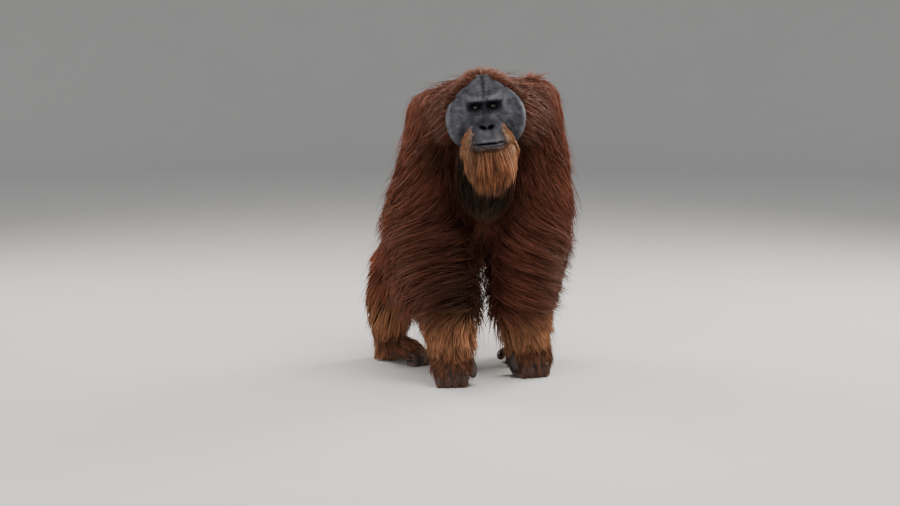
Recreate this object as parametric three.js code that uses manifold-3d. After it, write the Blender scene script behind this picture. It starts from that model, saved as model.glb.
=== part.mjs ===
// A full-grown male orangutan with wide cheek pads, life size, standing on its fists and curled feet.
// Millimetres, +Z up, facing -Y. The animal's right side is -X. The floor is z = 0.
import * as THREE from "three";
import { mergeVertices } from "three/addons/utils/BufferGeometryUtils.js";
import Module from "manifold-3d";

const wasm = await Module();
wasm.setup();

// The gap that touching pieces keep, and how far lock roots sink into the flesh
const GAP = 0.45;
const ROOT_SINK = 14;

// The finest step that joins and cuts leave in a surface
const FINEST = 0.05;

// How far the tips of locks stay over the floor
const FLOOR_CLEAR = 8;

// Colours, roughness
const LOOKS = {
  coat: { color: 0x7a3b1c, roughness: 0.85 },
  coat_light: { color: 0xa8612f, roughness: 0.85 },
  beard: { color: 0xc07a42, roughness: 0.85 },
  face: { color: 0x4b4a4f, roughness: 0.6 },
  eye: { color: 0x1a0f0a, roughness: 0.15 },
};

const vec = (x, y, z) => new THREE.Vector3(x, y, z);
const DOWN = vec(0, 0, -1);
const mix = (a, b, t) => a + (b - a) * t;
const clamp = (value, low, high) => Math.min(high, Math.max(low, value));
const smooth = (low, high, value) => {
  const t = clamp((value - low) / (high - low), 0, 1);
  return t * t * (3 - 2 * t);
};

// A seeded draw, so that every build gives the same coat. Each limb's coat starts from a pick of its own
let seed = 3;
function draw(low = 0, high = 1) {
  seed = (seed * 1664525 + 1013904223) % 4294967296;
  return mix(low, high, seed / 4294967296);
}

// Solids

function solidFrom(vertices, triangles) {
  const geometry = new THREE.BufferGeometry();
  const places = new Float32Array(vertices.flatMap((v) => v.toArray()));
  geometry.setAttribute("position", new THREE.BufferAttribute(places, 3));
  geometry.setIndex(triangles.flat());
  const merged = mergeVertices(geometry, 1e-4);
  const index = [];
  for (let i = 0; i < merged.index.count; i += 3) {
    const [a, b, c] = [0, 1, 2].map((k) => merged.index.getX(i + k));
    if (a !== b && b !== c && a !== c) index.push(a, b, c);
  }
  const mesh = new wasm.Mesh({
    numProp: 3,
    vertProperties: merged.attributes.position.array,
    triVerts: new Uint32Array(index),
  });
  const made = new wasm.Manifold(mesh);
  if (made.volume() >= 0) return made;
  for (let i = 0; i < index.length; i += 3) [index[i], index[i + 1]] = [index[i + 1], index[i]];
  return new wasm.Manifold(
    new wasm.Mesh({
      numProp: 3,
      vertProperties: merged.attributes.position.array,
      triVerts: new Uint32Array(index),
    }),
  );
}

// A closed skin over rings of equal length, each end drawn to one point
function closeRings(rings, first, last) {
  const count = rings[0].length;
  const vertices = [first, ...rings.flat(), last];
  const at = (ring, k) => 1 + ring * count + (k % count);
  const triangles = [];
  for (let k = 0; k < count; k++) {
    triangles.push([0, at(0, k + 1), at(0, k)]);
    triangles.push([vertices.length - 1, at(rings.length - 1, k), at(rings.length - 1, k + 1)]);
  }
  for (let ring = 0; ring + 1 < rings.length; ring++)
    for (let k = 0; k < count; k++) {
      triangles.push([at(ring, k), at(ring, k + 1), at(ring + 1, k)]);
      triangles.push([at(ring, k + 1), at(ring + 1, k + 1), at(ring + 1, k)]);
    }
  return solidFrom(vertices, triangles);
}

const joined = (solids) => wasm.Manifold.union(solids);

// The largest closed surface of a solid, without loose scraps or sealed hollows
function largest(solid) {
  const bodies = solid.decompose();
  return bodies.reduce((best, body) => (body.volume() > best.volume() ? body : best));
}

// Limbs: a bent body of oval sections through a few stations [x, y, z, half width, half depth]

function limb(stations, { capStart = 0.12, capEnd = 0.12 } = {}) {
  const body = { stations, side: vec(1, 0, 0), capStart, capEnd, length: 0 };
  for (let k = 1; k < stations.length; k++)
    body.length += vec(...stations[k]).distanceTo(vec(...stations[k - 1]));
  return body;
}

// Catmull-Rom through the stations: [x, y, z, half width, half depth] at u from 0 to 1
function stationAt(body, u) {
  const list = body.stations;
  const place = clamp(u, 0, 1) * (list.length - 1);
  const k = Math.min(list.length - 2, Math.floor(place));
  const t = place - k;
  const p1 = list[k];
  const p2 = list[k + 1];
  const p0 = list[k - 1] ?? p1.map((value, i) => 2 * value - p2[i]);
  const p3 = list[k + 2] ?? p2.map((value, i) => 2 * value - p1[i]);
  return p1.map(
    (value, i) =>
      0.5 *
      (2 * value +
        (p2[i] - p0[i]) * t +
        (2 * p0[i] - 5 * value + 4 * p2[i] - p3[i]) * t * t +
        (3 * value - p0[i] - 3 * p2[i] + p3[i]) * t * t * t),
  );
}

function frameAt(body, u) {
  const step = 0.01;
  const here = stationAt(body, u);
  const before = stationAt(body, Math.max(0, u - step));
  const after = stationAt(body, Math.min(1, u + step));
  const along = vec(after[0] - before[0], after[1] - before[1], after[2] - before[2]).normalize();
  const side = body.side.clone().addScaledVector(along, -body.side.dot(along)).normalize();
  const centre = vec(here[0], here[1], here[2]);
  centre.addScaledVector(along, (u - clamp(u, 0, 1)) * body.length);
  return { centre, along, side, up: along.clone().cross(side), wide: here[3], deep: here[4] };
}

function capAt(body, u) {
  const start = Math.max(0, (body.capStart - u) / body.capStart);
  const end = Math.max(0, (u - 1 + body.capEnd) / body.capEnd);
  return Math.sqrt(Math.max(0, 1 - start * start)) * Math.sqrt(Math.max(0, 1 - end * end));
}

// A point of a limb's skin, or of a skin grown outwards
function skinAt(body, u, angle, grow = 0) {
  const frame = frameAt(body, u);
  const cap = capAt(body, u);
  const past = Math.sqrt(1 - cap * cap) * grow;
  return frame.centre
    .addScaledVector(frame.along, u < 0.5 ? -past : past)
    .addScaledVector(frame.side, (frame.wide + grow) * cap * Math.cos(angle))
    .addScaledVector(frame.up, (frame.deep + grow) * cap * Math.sin(angle));
}

// A rounded end's rings, as turns up from its rim
const CAP_TURNS = [1.2, 0.7];

// One stretch of a limb, from u0 to u1, rounded where it reaches the limb's own ends
function stretch(body, { u0 = 0, u1 = 1, rings = 8, sides = 12, grow = 0, turns = CAP_TURNS }) {
  const start = u0 === 0 ? body.capStart : u0;
  const end = u1 === 1 ? 1 - body.capEnd : u1;
  const round = [];
  if (u0 === 0) for (const turn of turns) round.push(body.capStart * (1 - Math.sin(turn)));
  for (let k = 0; k <= rings; k++) round.push(mix(start, end, k / rings));
  if (u1 === 1) for (const turn of turns.toReversed()) round.push(1 - body.capEnd * (1 - Math.sin(turn)));
  const circle = (u) => Array.from({ length: sides }, (_, k) => skinAt(body, u, (2 * Math.PI * k) / sides, grow));
  const first = frameAt(body, u0);
  const last = frameAt(body, u1);
  return closeRings(
    round.map(circle),
    first.centre.addScaledVector(first.along, -grow),
    last.centre.addScaledVector(last.along, grow),
  );
}

// True where a point lies inside a limb's flesh
function inside(body, point, margin = 0) {
  const steps = 28;
  let nearest = Infinity;
  let best = 0;
  for (let k = 0; k <= steps; k++) {
    const s = stationAt(body, k / steps);
    const distance = Math.hypot(point.x - s[0], point.y - s[1], point.z - s[2]);
    if (distance < nearest) [nearest, best] = [distance, k / steps];
  }
  const frame = frameAt(body, best);
  const cap = capAt(body, best);
  const away = point.clone().sub(frame.centre);
  const across = away.dot(frame.side) / (frame.wide * cap + margin);
  const over = away.dot(frame.up) / (frame.deep * cap + margin);
  return across * across + over * over < 1 && Math.abs(away.dot(frame.along)) < body.length / steps + margin;
}

// The body's limbs

const torso = limb(
  [
    [0, -190, 775, 95, 90],
    [0, -120, 765, 165, 140],
    [0, -30, 745, 198, 172],
    [0, 90, 700, 205, 188],
    [0, 210, 625, 200, 192],
    [0, 320, 545, 185, 175],
    [0, 410, 490, 152, 138],
    [0, 480, 455, 100, 85],
  ],
  { capStart: 0.14, capEnd: 0.16 },
);

const armRight = limb([
  [-118, -42, 922, 110, 112],
  [-134, -60, 836, 100, 112],
  [-146, -78, 744, 94, 107],
  [-160, -92, 640, 100, 100],
  [-170, -104, 545, 110, 96],
  [-159, -120, 450, 109, 92],
  [-141, -150, 340, 100, 86],
  [-112, -186, 230, 76, 66],
  [-100, -214, 135, 50, 44],
], { capEnd: 0.04 });

const armLeft = limb([
  [120, -35, 956, 114, 112],
  [142, -52, 866, 98, 112],
  [150, -64, 764, 94, 107],
  [154, -70, 655, 98, 100],
  [157, -68, 560, 101, 94],
  [147, -62, 455, 95, 88],
  [133, -60, 345, 86, 80],
  [129, -60, 235, 71, 64],
  [152, -56, 135, 50, 44],
], { capEnd: 0.04 });

const legRight = limb([
  [-70, 330, 560, 100, 110],
  [-130, 290, 480, 95, 110],
  [-214, 235, 400, 82, 95],
  [-276, 200, 315, 68, 76],
  [-302, 225, 212, 58, 58],
  [-310, 266, 105, 42, 44],
  [-312, 272, 62, 38, 42],
], { capEnd: 0.04 });

const legLeft = limb([
  [70, 330, 560, 100, 110],
  [108, 290, 480, 100, 110],
  [142, 240, 400, 80, 95],
  [150, 205, 315, 62, 76],
  [142, 240, 212, 54, 58],
  [138, 290, 105, 42, 44],
  [138, 298, 62, 38, 42],
], { capEnd: 0.04 });

const neck = limb([
  [10, -50, 846, 172, 112],
  [8, -150, 858, 154, 106],
  [0, -240, 872, 116, 90],
  [0, -305, 878, 82, 74],
], { capStart: 0.1, capEnd: 0.1 });

const throat = limb([
  [4, -300, 800, 66, 66],
  [6, -288, 735, 80, 84],
  [6, -262, 660, 80, 90],
  [4, -222, 580, 60, 74],
], { capStart: 0.25, capEnd: 0.3 });

// The coat: a core over the flesh, and locks that end well above it
const CORE = 14;
const LOCK_LIFT = 24;
const LOCK_THICK = 10;
const LOCK_COVER = 0.97;
const TIP_GROW = 8;
const RIDGE_GROW = 1.3;

// A lock's stations from root to tip: place, share of its width, share of its thickness
const LOCK_STATIONS = [
  [0, 0.75, 1],
  [0.42, 1, 1],
  [0.78, 0.7, 0.7],
];

// A limb's skin at a place: the point, the outward normal and the two ways along the skin
function skinFrame(body, u, angle, grow) {
  const step = 0.004;
  const point = skinAt(body, u, angle, grow);
  const at = (place, turn) => skinAt(body, place, turn, grow);
  const alongU = at(u + step, angle).sub(at(u - step, angle)).divideScalar(2 * step);
  const round = at(u, angle + step).sub(at(u, angle - step)).divideScalar(2 * step);
  const normal = round.clone().cross(alongU).normalize();
  if (normal.dot(point.clone().sub(frameAt(body, u).centre)) < 0) normal.negate();
  return { point, normal, alongU, round };
}

// The path of one lock over a limb, from its sunk root to its lifted tip, in the way its coat lies
function lockPath(body, u, angle, { length, lift, way, core }) {
  const path = [];
  let place = 0;
  let last = null;
  let point = null;
  for (const station of [...LOCK_STATIONS.map((row) => row[0]), 1]) {
    const step = (station - place) * length;
    place = station;
    if (last && (u < 0.03 || u > 0.97)) {
      point = point.clone().addScaledVector(last.dir, step).addScaledVector(DOWN, step * 0.3);
    } else {
      if (last) {
        u += (step * last.dir.dot(last.alongU)) / last.alongU.lengthSq();
        angle += (step * last.dir.dot(last.round)) / last.round.lengthSq();
      }
      const skin = skinFrame(body, clamp(u, 0.02, 0.98), angle, core);
      const dir = way(u, skin.point, skin.normal);
      dir.addScaledVector(skin.normal, -dir.dot(skin.normal)).normalize();
      last = { ...skin, dir };
      point = skin.point;
    }
    const height = mix(-ROOT_SINK, lift, station ** 0.8);
    const frame = frameAt(body, clamp(u, 0, 1));
    const lengthwise = last.dir.dot(frame.along) ** 2;
    path.push({
      point: point.clone().addScaledVector(last.normal, height),
      normal: last.normal,
      side: last.dir.clone().cross(last.normal),
      bend: lengthwise / (frame.wide + frame.deep + 2 * core),
    });
  }
  return path;
}

// A flat, tapered, three-sided lock on its path, its edges bent down round the limb. Its shell has five sides,
// so that it wraps each edge
function lockSolid({ path, width, thick }, grow) {
  const rings = LOCK_STATIONS.map(([, wide, deep], k) => {
    const { point, normal, side, bend } = path[k];
    const half = 0.5 * width * wide;
    const drop = half * half * bend;
    const edge = (way, rise) =>
      point
        .clone()
        .addScaledVector(side, way * (half + grow))
        .addScaledVector(normal, rise - drop);
    const ridge = point.clone().addScaledVector(normal, thick * deep + RIDGE_GROW * grow);
    if (grow === 0) return [edge(-1, 0), edge(1, 0), ridge];
    return [edge(-1, -grow), edge(1, -grow), edge(1, grow), ridge, edge(-1, grow)];
  });
  const sides = rings[0].length;
  const tip = path[path.length - 1].point;
  const before = path[path.length - 2].point;
  const ahead = tip.clone().sub(before).normalize();
  const vertices = [...rings.flat(), tip.clone().addScaledVector(ahead, TIP_GROW * grow)];
  const triangles = [];
  for (let k = 1; k + 1 < sides; k++) triangles.push([0, k + 1, k]);
  for (let ring = 0; ring + 1 < rings.length; ring++)
    for (let k = 0; k < sides; k++) {
      const a = sides * ring + k;
      const b = sides * ring + ((k + 1) % sides);
      triangles.push([a, b, a + sides], [b, b + sides, a + sides]);
    }
  const end = sides * (rings.length - 1);
  for (let k = 0; k < sides; k++) triangles.push([end + k, end + ((k + 1) % sides), vertices.length - 1]);
  return solidFrom(vertices, triangles);
}

// A lock that roots in a place and falls from it: out along a normal, down, and aside
function fallingLock(root, normal, { length, width, thick = 8, lift = 14, sink = 10, fall = DOWN }) {
  const path = [...LOCK_STATIONS.map((row) => row[0]), 1].map((station) => ({
    point: root
      .clone()
      .addScaledVector(normal, mix(-sink, lift, station ** 0.7))
      .addScaledVector(fall, station * length),
    normal,
    side: fall.clone().cross(normal).normalize(),
    bend: 0.002,
  }));
  return { path, width, thick };
}

// Rows of locks round a stretch of a limb, left out where they would root in another limb
function coatLocks(
  body,
  { u0, u1, rows, spacing, length, lift = LOCK_LIFT, thick = LOCK_THICK, way, core, others, pick = 3 },
) {
  seed = pick;
  const locks = [];
  for (let row = 0; row < rows; row++) {
    const u = mix(u0, u1, rows > 1 ? row / (rows - 1) : 0.5);
    const here = frameAt(body, u);
    const cap = capAt(body, u);
    const round = Math.PI * (here.wide + here.deep + 2 * core) * cap;
    const count = Math.max(4, Math.round(round / spacing));
    for (let k = 0; k < count; k++) {
      const angle = (2 * Math.PI * (k + 0.5 * (row % 2) + draw(-0.06, 0.06))) / count;
      const size = draw(0.88, 1.12);
      const path = lockPath(body, u + draw(-0.006, 0.006), angle, { length: length * size, lift, way, core });
      const width = (LOCK_COVER * round) / count;
      const clear = path.every(({ point }, place) =>
        others.every((other) => !inside(other, point, place < 2 ? core + 6 : core - 4)),
      );
      const low = path.some(({ point }) => point.z < FLOOR_CLEAR);
      if (clear && !low) locks.push({ path, width: width * draw(0.94, 1.04), thick });
    }
  }
  return locks;
}

const withLocks = (core, locks, grow) => joined([core, ...locks.map((one) => lockSolid(one, grow))]);

const nodes = [];
const shells = [];

// Adds a node, cut clear of all the nodes before it. make(grow) builds it a little larger as its shell
function node(name, look, make) {
  let body = make(0);
  const box = body.boundingBox();
  for (const shell of shells) {
    const other = shell.boundingBox();
    const apart = [0, 1, 2].some((k) => box.min[k] > other.max[k] || box.max[k] < other.min[k]);
    if (!apart) body = body.subtract(shell);
  }
  nodes.push([name, look, largest(body.setTolerance(FINEST))]);
  shells.push(make(GAP));
}

// Keeps what is above the floor
const aboveFloor = (solid) => solid.trimByPlane([0, 0, 1], 0);

// Builds a small piece in its own frame, on the floor, then turns and places it
function placed(solid, { x, y, turn }) {
  return solid.rotate([0, 0, turn]).translate([x, y, 0]);
}

// The fist: the back of the hand, four folded fingers and the thumb, in its own frame with the knuckles to -Y
const FINGER_SPREAD = 26;
const handLocks = [-1.1, -0.38, 0.38, 1.1].map((share) =>
  fallingLock(vec(34 * share, -14 + 8 * share * share, 118), vec(0.5 * share, -1, 0.2).normalize(), {
    length: 84,
    width: 30,
    fall: vec(0.1 * share, -0.12, -1).normalize(),
  }),
);

function digit(points, grow) {
  return stretch(limb(points, { capStart: 0.1, capEnd: 0.16 }), { rings: 3, sides: 5, grow, turns: [0.9] });
}

function fist(inner, grow) {
  const back = stretch(
    limb([
      [0, 14, 150, 44, 36],
      [0, 8, 110, 50, 34],
      [0, -4, 70, 55, 26],
      [0, -14, 36, 50, 18],
    ], { capEnd: 0.16 }),
    { rings: 3, sides: 8, grow, turns: [0.9] },
  );
  const pieces = [back, ...handLocks.map((one) => lockSolid(one, grow))];
  for (let k = 0; k < 4; k++) {
    const x = inner * (k - 1.5) * FINGER_SPREAD;
    const r = 12.8 - 0.5 * Math.abs(k - 1.4);
    pieces.push(
      digit(
        [
          [x, -16, 42, r, r],
          [x, -20, 13, r, r],
          [x, 30, 9, r, r],
          [x, 66, 24, r - 0.5, r - 0.5],
          [x, 56, 52, r - 2, r - 2],
        ],
        grow,
      ),
    );
  }
  pieces.push(
    digit(
      [
        [inner * 40, 12, 98, 16, 15],
        [inner * 62, 2, 74, 15, 14],
        [inner * 68, -10, 48, 12, 12],
        [inner * 64, -18, 30, 9, 9],
      ],
      grow,
    ),
  );
  return aboveFloor(joined(pieces));
}

// The foot: heel, instep and toes curled under, in its own frame with the toes to -Y
const TOE_SPREAD = 23;
const footLocks = [-1, 0, 1].map((share) =>
  fallingLock(vec(24 * share, 30 + 8 * share, 76 - 12 * share * share), vec(0.8 * share, 0, 1).normalize(), {
    length: 84,
    width: 32,
    lift: 9,
    fall: vec(0.1 * share, -1, -0.28).normalize(),
  }),
);

function foot(inner, grow) {
  const sole = stretch(
    limb([
      [0, 108, 34, 30, 34],
      [0, 70, 40, 38, 44],
      [0, 20, 48, 42, 40],
      [0, -34, 42, 47, 30],
      [0, -74, 36, 46, 22],
    ]),
    { rings: 4, sides: 8, grow, turns: [0.9] },
  );
  const pieces = [sole, ...footLocks.map((one) => lockSolid(one, grow))];
  for (let k = 0; k < 4; k++) {
    const x = inner * (k - 1.5) * TOE_SPREAD;
    const r = 11.3 - 0.4 * Math.abs(k - 1.5);
    const reach = -104 - 8 * Math.sin((Math.PI * (k + 0.8)) / 4);
    pieces.push(
      digit(
        [
          [x, -62, 36, r, r],
          [x, reach + 8, 36, r, r],
          [x, reach - 4, 15, r, r],
          [x, reach + 20, 7.5, r - 0.5, r - 0.5],
          [x, reach + 44, 13, r - 1.5, r - 1.5],
        ],
        grow,
      ),
    );
  }
  pieces.push(
    digit(
      [
        [inner * 30, 30, 34, 17, 16],
        [inner * 56, 6, 30, 16, 15],
        [inner * 68, -24, 24, 14, 14],
        [inner * 62, -48, 17, 12, 12],
      ],
      grow,
    ),
  );
  return aboveFloor(joined(pieces));
}

// The head, in its own frame: the point between the eyes is 0, the face looks along -Y, Z is up
const EYE_MIDDLE = [0, -395, 895];
const HEAD_ROLL = 6;
const EYE = { x: 27, y: 14, radius: 12.5 };
const LID = 2.6;
const NOSTRIL = { x: 12, z: -60 };
const MOUTH = { z: -108, half: 56 };
const PAD_INNER = 66;
const PAD_THICK = 28;

// The face's half width at heights over the eyes, with the wide cheek pads
const FACE_OUTLINE = [
  [-150, 36],
  [-142, 50],
  [-132, 60],
  [-122, 70],
  [-114, 84],
  [-104, 97],
  [-90, 107],
  [-70, 115],
  [-45, 120],
  [-20, 119],
  [0, 114],
  [18, 106],
  [34, 93],
  [50, 77],
  [68, 55],
  [82, 36],
  [95, 15],
];

// How far the muzzle stands out, and its half width, at heights over the eyes
const MUZZLE_OUT = [
  [-152, 16],
  [-145, 40],
  [-135, 58],
  [-124, 70],
  [-112, 77],
  [-100, 79],
  [-88, 77],
  [-74, 68],
  [-62, 52],
  [-50, 33],
  [-36, 13],
  [-22, 0],
];
const MUZZLE_HALF = [
  [-152, 52],
  [-135, 66],
  [-110, 74],
  [-90, 70],
  [-70, 60],
  [-50, 46],
  [-20, 30],
];

// A smooth curve through [place, value] pairs
function curve(pairs, place) {
  const last = pairs.length - 1;
  const at = clamp(place, pairs[0][0], pairs[last][0]);
  let k = 0;
  while (k < last - 1 && pairs[k + 1][0] < at) k++;
  const slope = (i) => {
    const before = pairs[Math.max(0, i - 1)];
    const after = pairs[Math.min(last, i + 1)];
    return (after[1] - before[1]) / (after[0] - before[0]);
  };
  const width = pairs[k + 1][0] - pairs[k][0];
  const t = (at - pairs[k][0]) / width;
  return (
    (2 * t ** 3 - 3 * t ** 2 + 1) * pairs[k][1] +
    (t ** 3 - 2 * t ** 2 + t) * width * slope(k) +
    (3 * t ** 2 - 2 * t ** 3) * pairs[k + 1][1] +
    (t ** 3 - t ** 2) * width * slope(k + 1)
  );
}

// A rounded rise of 1 at a centre
const rise = (centre, reach, value) => Math.exp(-(((value - centre) / reach) ** 2));

// How far the face stands out of the plane of the eyes
function faceOut(x, z) {
  const across = Math.abs(x);
  const edge = curve(FACE_OUTLINE, z) - across;
  const upper = smooth(-125, -100, z);
  let out = -0.0042 * Math.max(0, z - 22) ** 2;
  out -= 12 * rise(82, 22, across) * upper;
  out += (5 * rise(9, 8, edge) - 7 * (1 - smooth(0, 5, edge))) * upper;
  out += 7 * (1 - smooth(34, 62, across));
  out += 16 * rise(19, 9, z) * smooth(3, 14, across) * (1 - smooth(42, 62, across));
  out += 5 * rise(50, 12, across) * rise(20, 12, z);
  out -= 18 * rise(EYE.x, 17, across) * rise(-1, 11, z);
  out += 5 * rise(0, 7, across) * smooth(-50, -38, z) * (1 - smooth(-2, 8, z));
  out -= 5 * rise(0, 6, across) * smooth(24, 42, z) * (1 - smooth(80, 92, z));
  out += curve(MUZZLE_OUT, z) * (1 - smooth(0.3, 1, across / curve(MUZZLE_HALF, z)));
  out += 7 * rise(NOSTRIL.x + 4, 7, across) * rise(NOSTRIL.z + 2, 7, z);
  out += 4 * rise(0, 7, across) * rise(NOSTRIL.z + 4, 7, z);
  const lips = 1 - smooth(MOUTH.half - 12, MOUTH.half + 4, across);
  out += 4 * rise(MOUTH.z + 7, 5, z) * lips;
  out += 3 * rise(MOUTH.z - 8, 5, z) * lips;
  out -= 9 * rise(MOUTH.z, 2.6, z) * lips;
  return out;
}

// Rows down the face and columns across it, closer together where the features are
const FACE_ROWS = [
  95, 84, 68, 50, 35, 26, 18, 9, 0, -9, -22, -38, -50, -57, -64, -76, -90, -102, -108, -114, -124, -137, -150,
];
const FACE_COLUMNS = [0, 0.09, 0.18, 0.29, 0.42, 0.58, 0.76, 0.92, 1];

// The face with its pads: a front of rows and columns, a rim wall and a closed back
function faceSolid(grow) {
  const columns = [...FACE_COLUMNS.slice(1).map((t) => -t).reverse(), ...FACE_COLUMNS];
  const front = FACE_ROWS.map((z) =>
    columns.map((t) => {
      const x = curve(FACE_OUTLINE, z) * t;
      const tall = z > 0 ? grow * rise(95, 20, z) : -grow * rise(-150, 20, z);
      return vec(x + grow * Math.sign(t) * smooth(0.8, 1, Math.abs(t)), -faceOut(x, z) - grow, z + tall);
    }),
  );
  const rows = front.length;
  const wide = columns.length;
  const rim = [];
  for (let i = 0; i < rows - 1; i++) rim.push([i, 0]);
  for (let j = 0; j < wide - 1; j++) rim.push([rows - 1, j]);
  for (let i = rows - 1; i > 0; i--) rim.push([i, wide - 1]);
  for (let j = wide - 1; j > 0; j--) rim.push([0, j]);
  const back = rim.map(([i, j]) => {
    const edge = front[i][j];
    return vec(edge.x * 0.97, edge.y + PAD_THICK + 2 * grow, edge.z * 0.98);
  });
  const vertices = [...front.flat(), ...back, vec(0, PAD_THICK + 18 + grow, 0)];
  const centre = vertices.length - 1;
  const triangles = [];
  for (let i = 0; i < rows - 1; i++)
    for (let j = 0; j < wide - 1; j++) {
      const a = i * wide + j;
      triangles.push([a, a + wide, a + 1], [a + 1, a + wide, a + wide + 1]);
    }
  for (let k = 0; k < rim.length; k++) {
    const next = (k + 1) % rim.length;
    const a = rim[k][0] * wide + rim[k][1];
    const b = rim[next][0] * wide + rim[next][1];
    const c = rows * wide + k;
    const d = rows * wide + next;
    triangles.push([b, a, c], [b, c, d], [d, c, centre]);
  }
  return solidFrom(vertices, triangles);
}

// An egg of three half sizes about a place
function egg(place, halves, sides = 12, rings = 8) {
  const geometry = new THREE.SphereGeometry(1, sides, rings);
  geometry.scale(...halves);
  geometry.translate(...place);
  geometry.deleteAttribute("normal");
  geometry.deleteAttribute("uv");
  const { position } = geometry.attributes;
  const vertices = Array.from({ length: position.count }, (_, k) => vec().fromBufferAttribute(position, k));
  const triangles = [];
  for (let i = 0; i < geometry.index.count; i += 3)
    triangles.push([0, 1, 2].map((k) => geometry.index.getX(i + k)));
  return solidFrom(vertices, triangles);
}

const skull = limb(
  [
    [0, 34, 16, 74, 72],
    [0, 60, 20, 82, 80],
    [0, 95, 18, 86, 84],
    [0, 150, 5, 82, 78],
    [0, 195, -8, 62, 60],
  ],
  { capStart: 0.2, capEnd: 0.2 },
);
const jawbone = limb(
  [
    [0, -40, -124, 44, 20],
    [0, 0, -116, 60, 34],
    [0, 60, -96, 64, 44],
    [0, 105, -80, 60, 46],
  ],
  { capStart: 0.15, capEnd: 0.15 },
);
const beardCore = limb(
  [
    [0, -12, -114, 80, 36],
    [0, -20, -152, 76, 40],
    [0, -20, -194, 58, 26],
  ],
  { capStart: 0.15, capEnd: 0.3 },
);

// The almond of each eye's opening, as a short prism ahead of the eyeball
function eyeOpening(side) {
  const ring = (y) =>
    Array.from({ length: 8 }, (_, k) => {
      const turn = (2 * Math.PI * k) / 8;
      return vec(side * EYE.x + 13 * Math.cos(turn), y, 6.5 * Math.sin(turn) - 0.5);
    });
  return closeRings([ring(EYE.y), ring(-40)], vec(side * EYE.x, EYE.y, 0), vec(side * EYE.x, -40, 0));
}

function eyeball(side, grow = 0) {
  const radius = EYE.radius + grow;
  return egg([side * EYE.x, EYE.y, 0], [radius, radius, radius], 10, 6);
}

// The cup of an ear
function ear(side, grow) {
  const cup = egg([0, 0, 0], [8 + grow, 15 + grow, 22 + grow], 8, 5);
  const hollow = egg([side * 6, -2, 1], [7 - grow, 10.5 - grow, 16.5 - grow], 7, 5);
  return cup.subtract(hollow).rotate([0, 0, side * -24]).translate([side * 103, 62, 4]);
}

// The crown: locks swept back from the brow line and down beside the head
const CROWN_CORE = 6;
const crownLocks = coatLocks(skull, {
  u0: 0.2, u1: 0.72, rows: 3, spacing: 96, length: 88, lift: 13, thick: 7, core: CROWN_CORE, others: [],
  way: (u, point) => vec(point.x * 0.006, 0.8, -0.35),
}).filter(({ path }) => path[0].point.z > 8 && path[2].point.y < 175);

// The pale moustache beside the muzzle, on the head
const moustacheLocks = [-1, 1].flatMap((side) =>
  [0, 1, 2].map((k) => {
    const x = side * (44 + 9 * k);
    const z = -54 - 17 * k;
    const root = vec(x, -faceOut(x, z), z);
    const fall = vec(side * 0.32, -0.12 * (2 - k), -1).normalize();
    const normal = vec(side * 0.55, -0.83, 0);
    return fallingLock(root, normal, { length: 58, width: 26, thick: 5, lift: 8, sink: 6, fall });
  }),
);

// The beard: locks in tiers on the chin and along the jaw
const beardLocks = [
  { count: 6, z: -130, spread: 66, length: 122, width: 30, front: -faceOut(0, -130) + 16 },
  { count: 5, z: -150, spread: 60, length: 108, width: 36, front: -48 },
].flatMap(({ count, z, spread, length, width, front }) =>
  Array.from({ length: count }, (_, k) => {
    const share = (2 * k) / (count - 1) - 1;
    const root = vec(spread * share, front + 30 * share * share, z);
    const normal = vec(0.9 * share, -1, 0).normalize();
    const fall = vec(-0.1 * share + draw(-0.04, 0.04), 0.1, -1).normalize();
    const long = length * (1 - 0.22 * share * share) * draw(0.94, 1.06);
    return fallingLock(root, normal, { length: long, width, fall });
  }),
);
for (const side of [-1, 1])
  for (const k of [0, 1]) {
    const root = vec(side * 76, -20 + 30 * k, -122);
    const normal = vec(side, -0.3, 0).normalize();
    beardLocks.push(fallingLock(root, normal, { length: 104 - 22 * k, width: 34 }));
  }

const inHead = (solid) => solid.rotate([0, -HEAD_ROLL, 0]).translate(EYE_MIDDLE);
const rightOf = (solid, x) => solid.trimByPlane([1, 0, 0], x);
const leftOf = (solid, x) => solid.trimByPlane([-1, 0, 0], -x);
const over = (solid, z) => solid.trimByPlane([0, 0, 1], z);
const under = (solid, z) => solid.trimByPlane([0, 0, -1], -z);

function cheekPad(side, grow) {
  const face = faceSolid(grow);
  return inHead(side > 0 ? rightOf(face, PAD_INNER - grow) : leftOf(face, grow - PAD_INNER));
}

// The head without pads and jaw, with lids, eye openings and nostrils
function upperHead(grow) {
  let solid = joined([
    leftOf(rightOf(faceSolid(grow), -PAD_INNER - grow), PAD_INNER + grow),
    stretch(skull, { rings: 3, sides: 12, grow: grow + CROWN_CORE }),
    stretch(jawbone, { rings: 2, sides: 8, grow, turns: [0.9] }),
  ]);
  for (const side of [-1, 1]) {
    const lids = EYE.radius + LID + grow;
    solid = solid.add(egg([side * EYE.x, EYE.y, 0], [lids, lids, lids], 10, 6));
    solid = solid.subtract(eyeOpening(side)).subtract(eyeball(side, GAP));
    solid = solid.subtract(egg([side * NOSTRIL.x, -52, NOSTRIL.z - 2], [7 - grow, 9, 4.5 - grow], 6, 4));
  }
  return inHead(withLocks(over(solid, MOUTH.z - grow), [...crownLocks, ...moustacheLocks], grow));
}

function lowerJaw(grow) {
  const solid = joined([
    leftOf(rightOf(faceSolid(grow), -PAD_INNER - grow), PAD_INNER + grow),
    stretch(jawbone, { rings: 2, sides: 8, grow, turns: [0.9] }),
    stretch(beardCore, { rings: 2, sides: 10, grow, turns: [0.9] }),
  ]);
  const bearded = joined([under(solid, MOUTH.z + grow), ...beardLocks.map((one) => lockSolid(one, grow))]);
  return inHead(bearded);
}

const ELBOW = 0.56;
const KNEE = 0.56;
const WAIST = 0.5;

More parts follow.
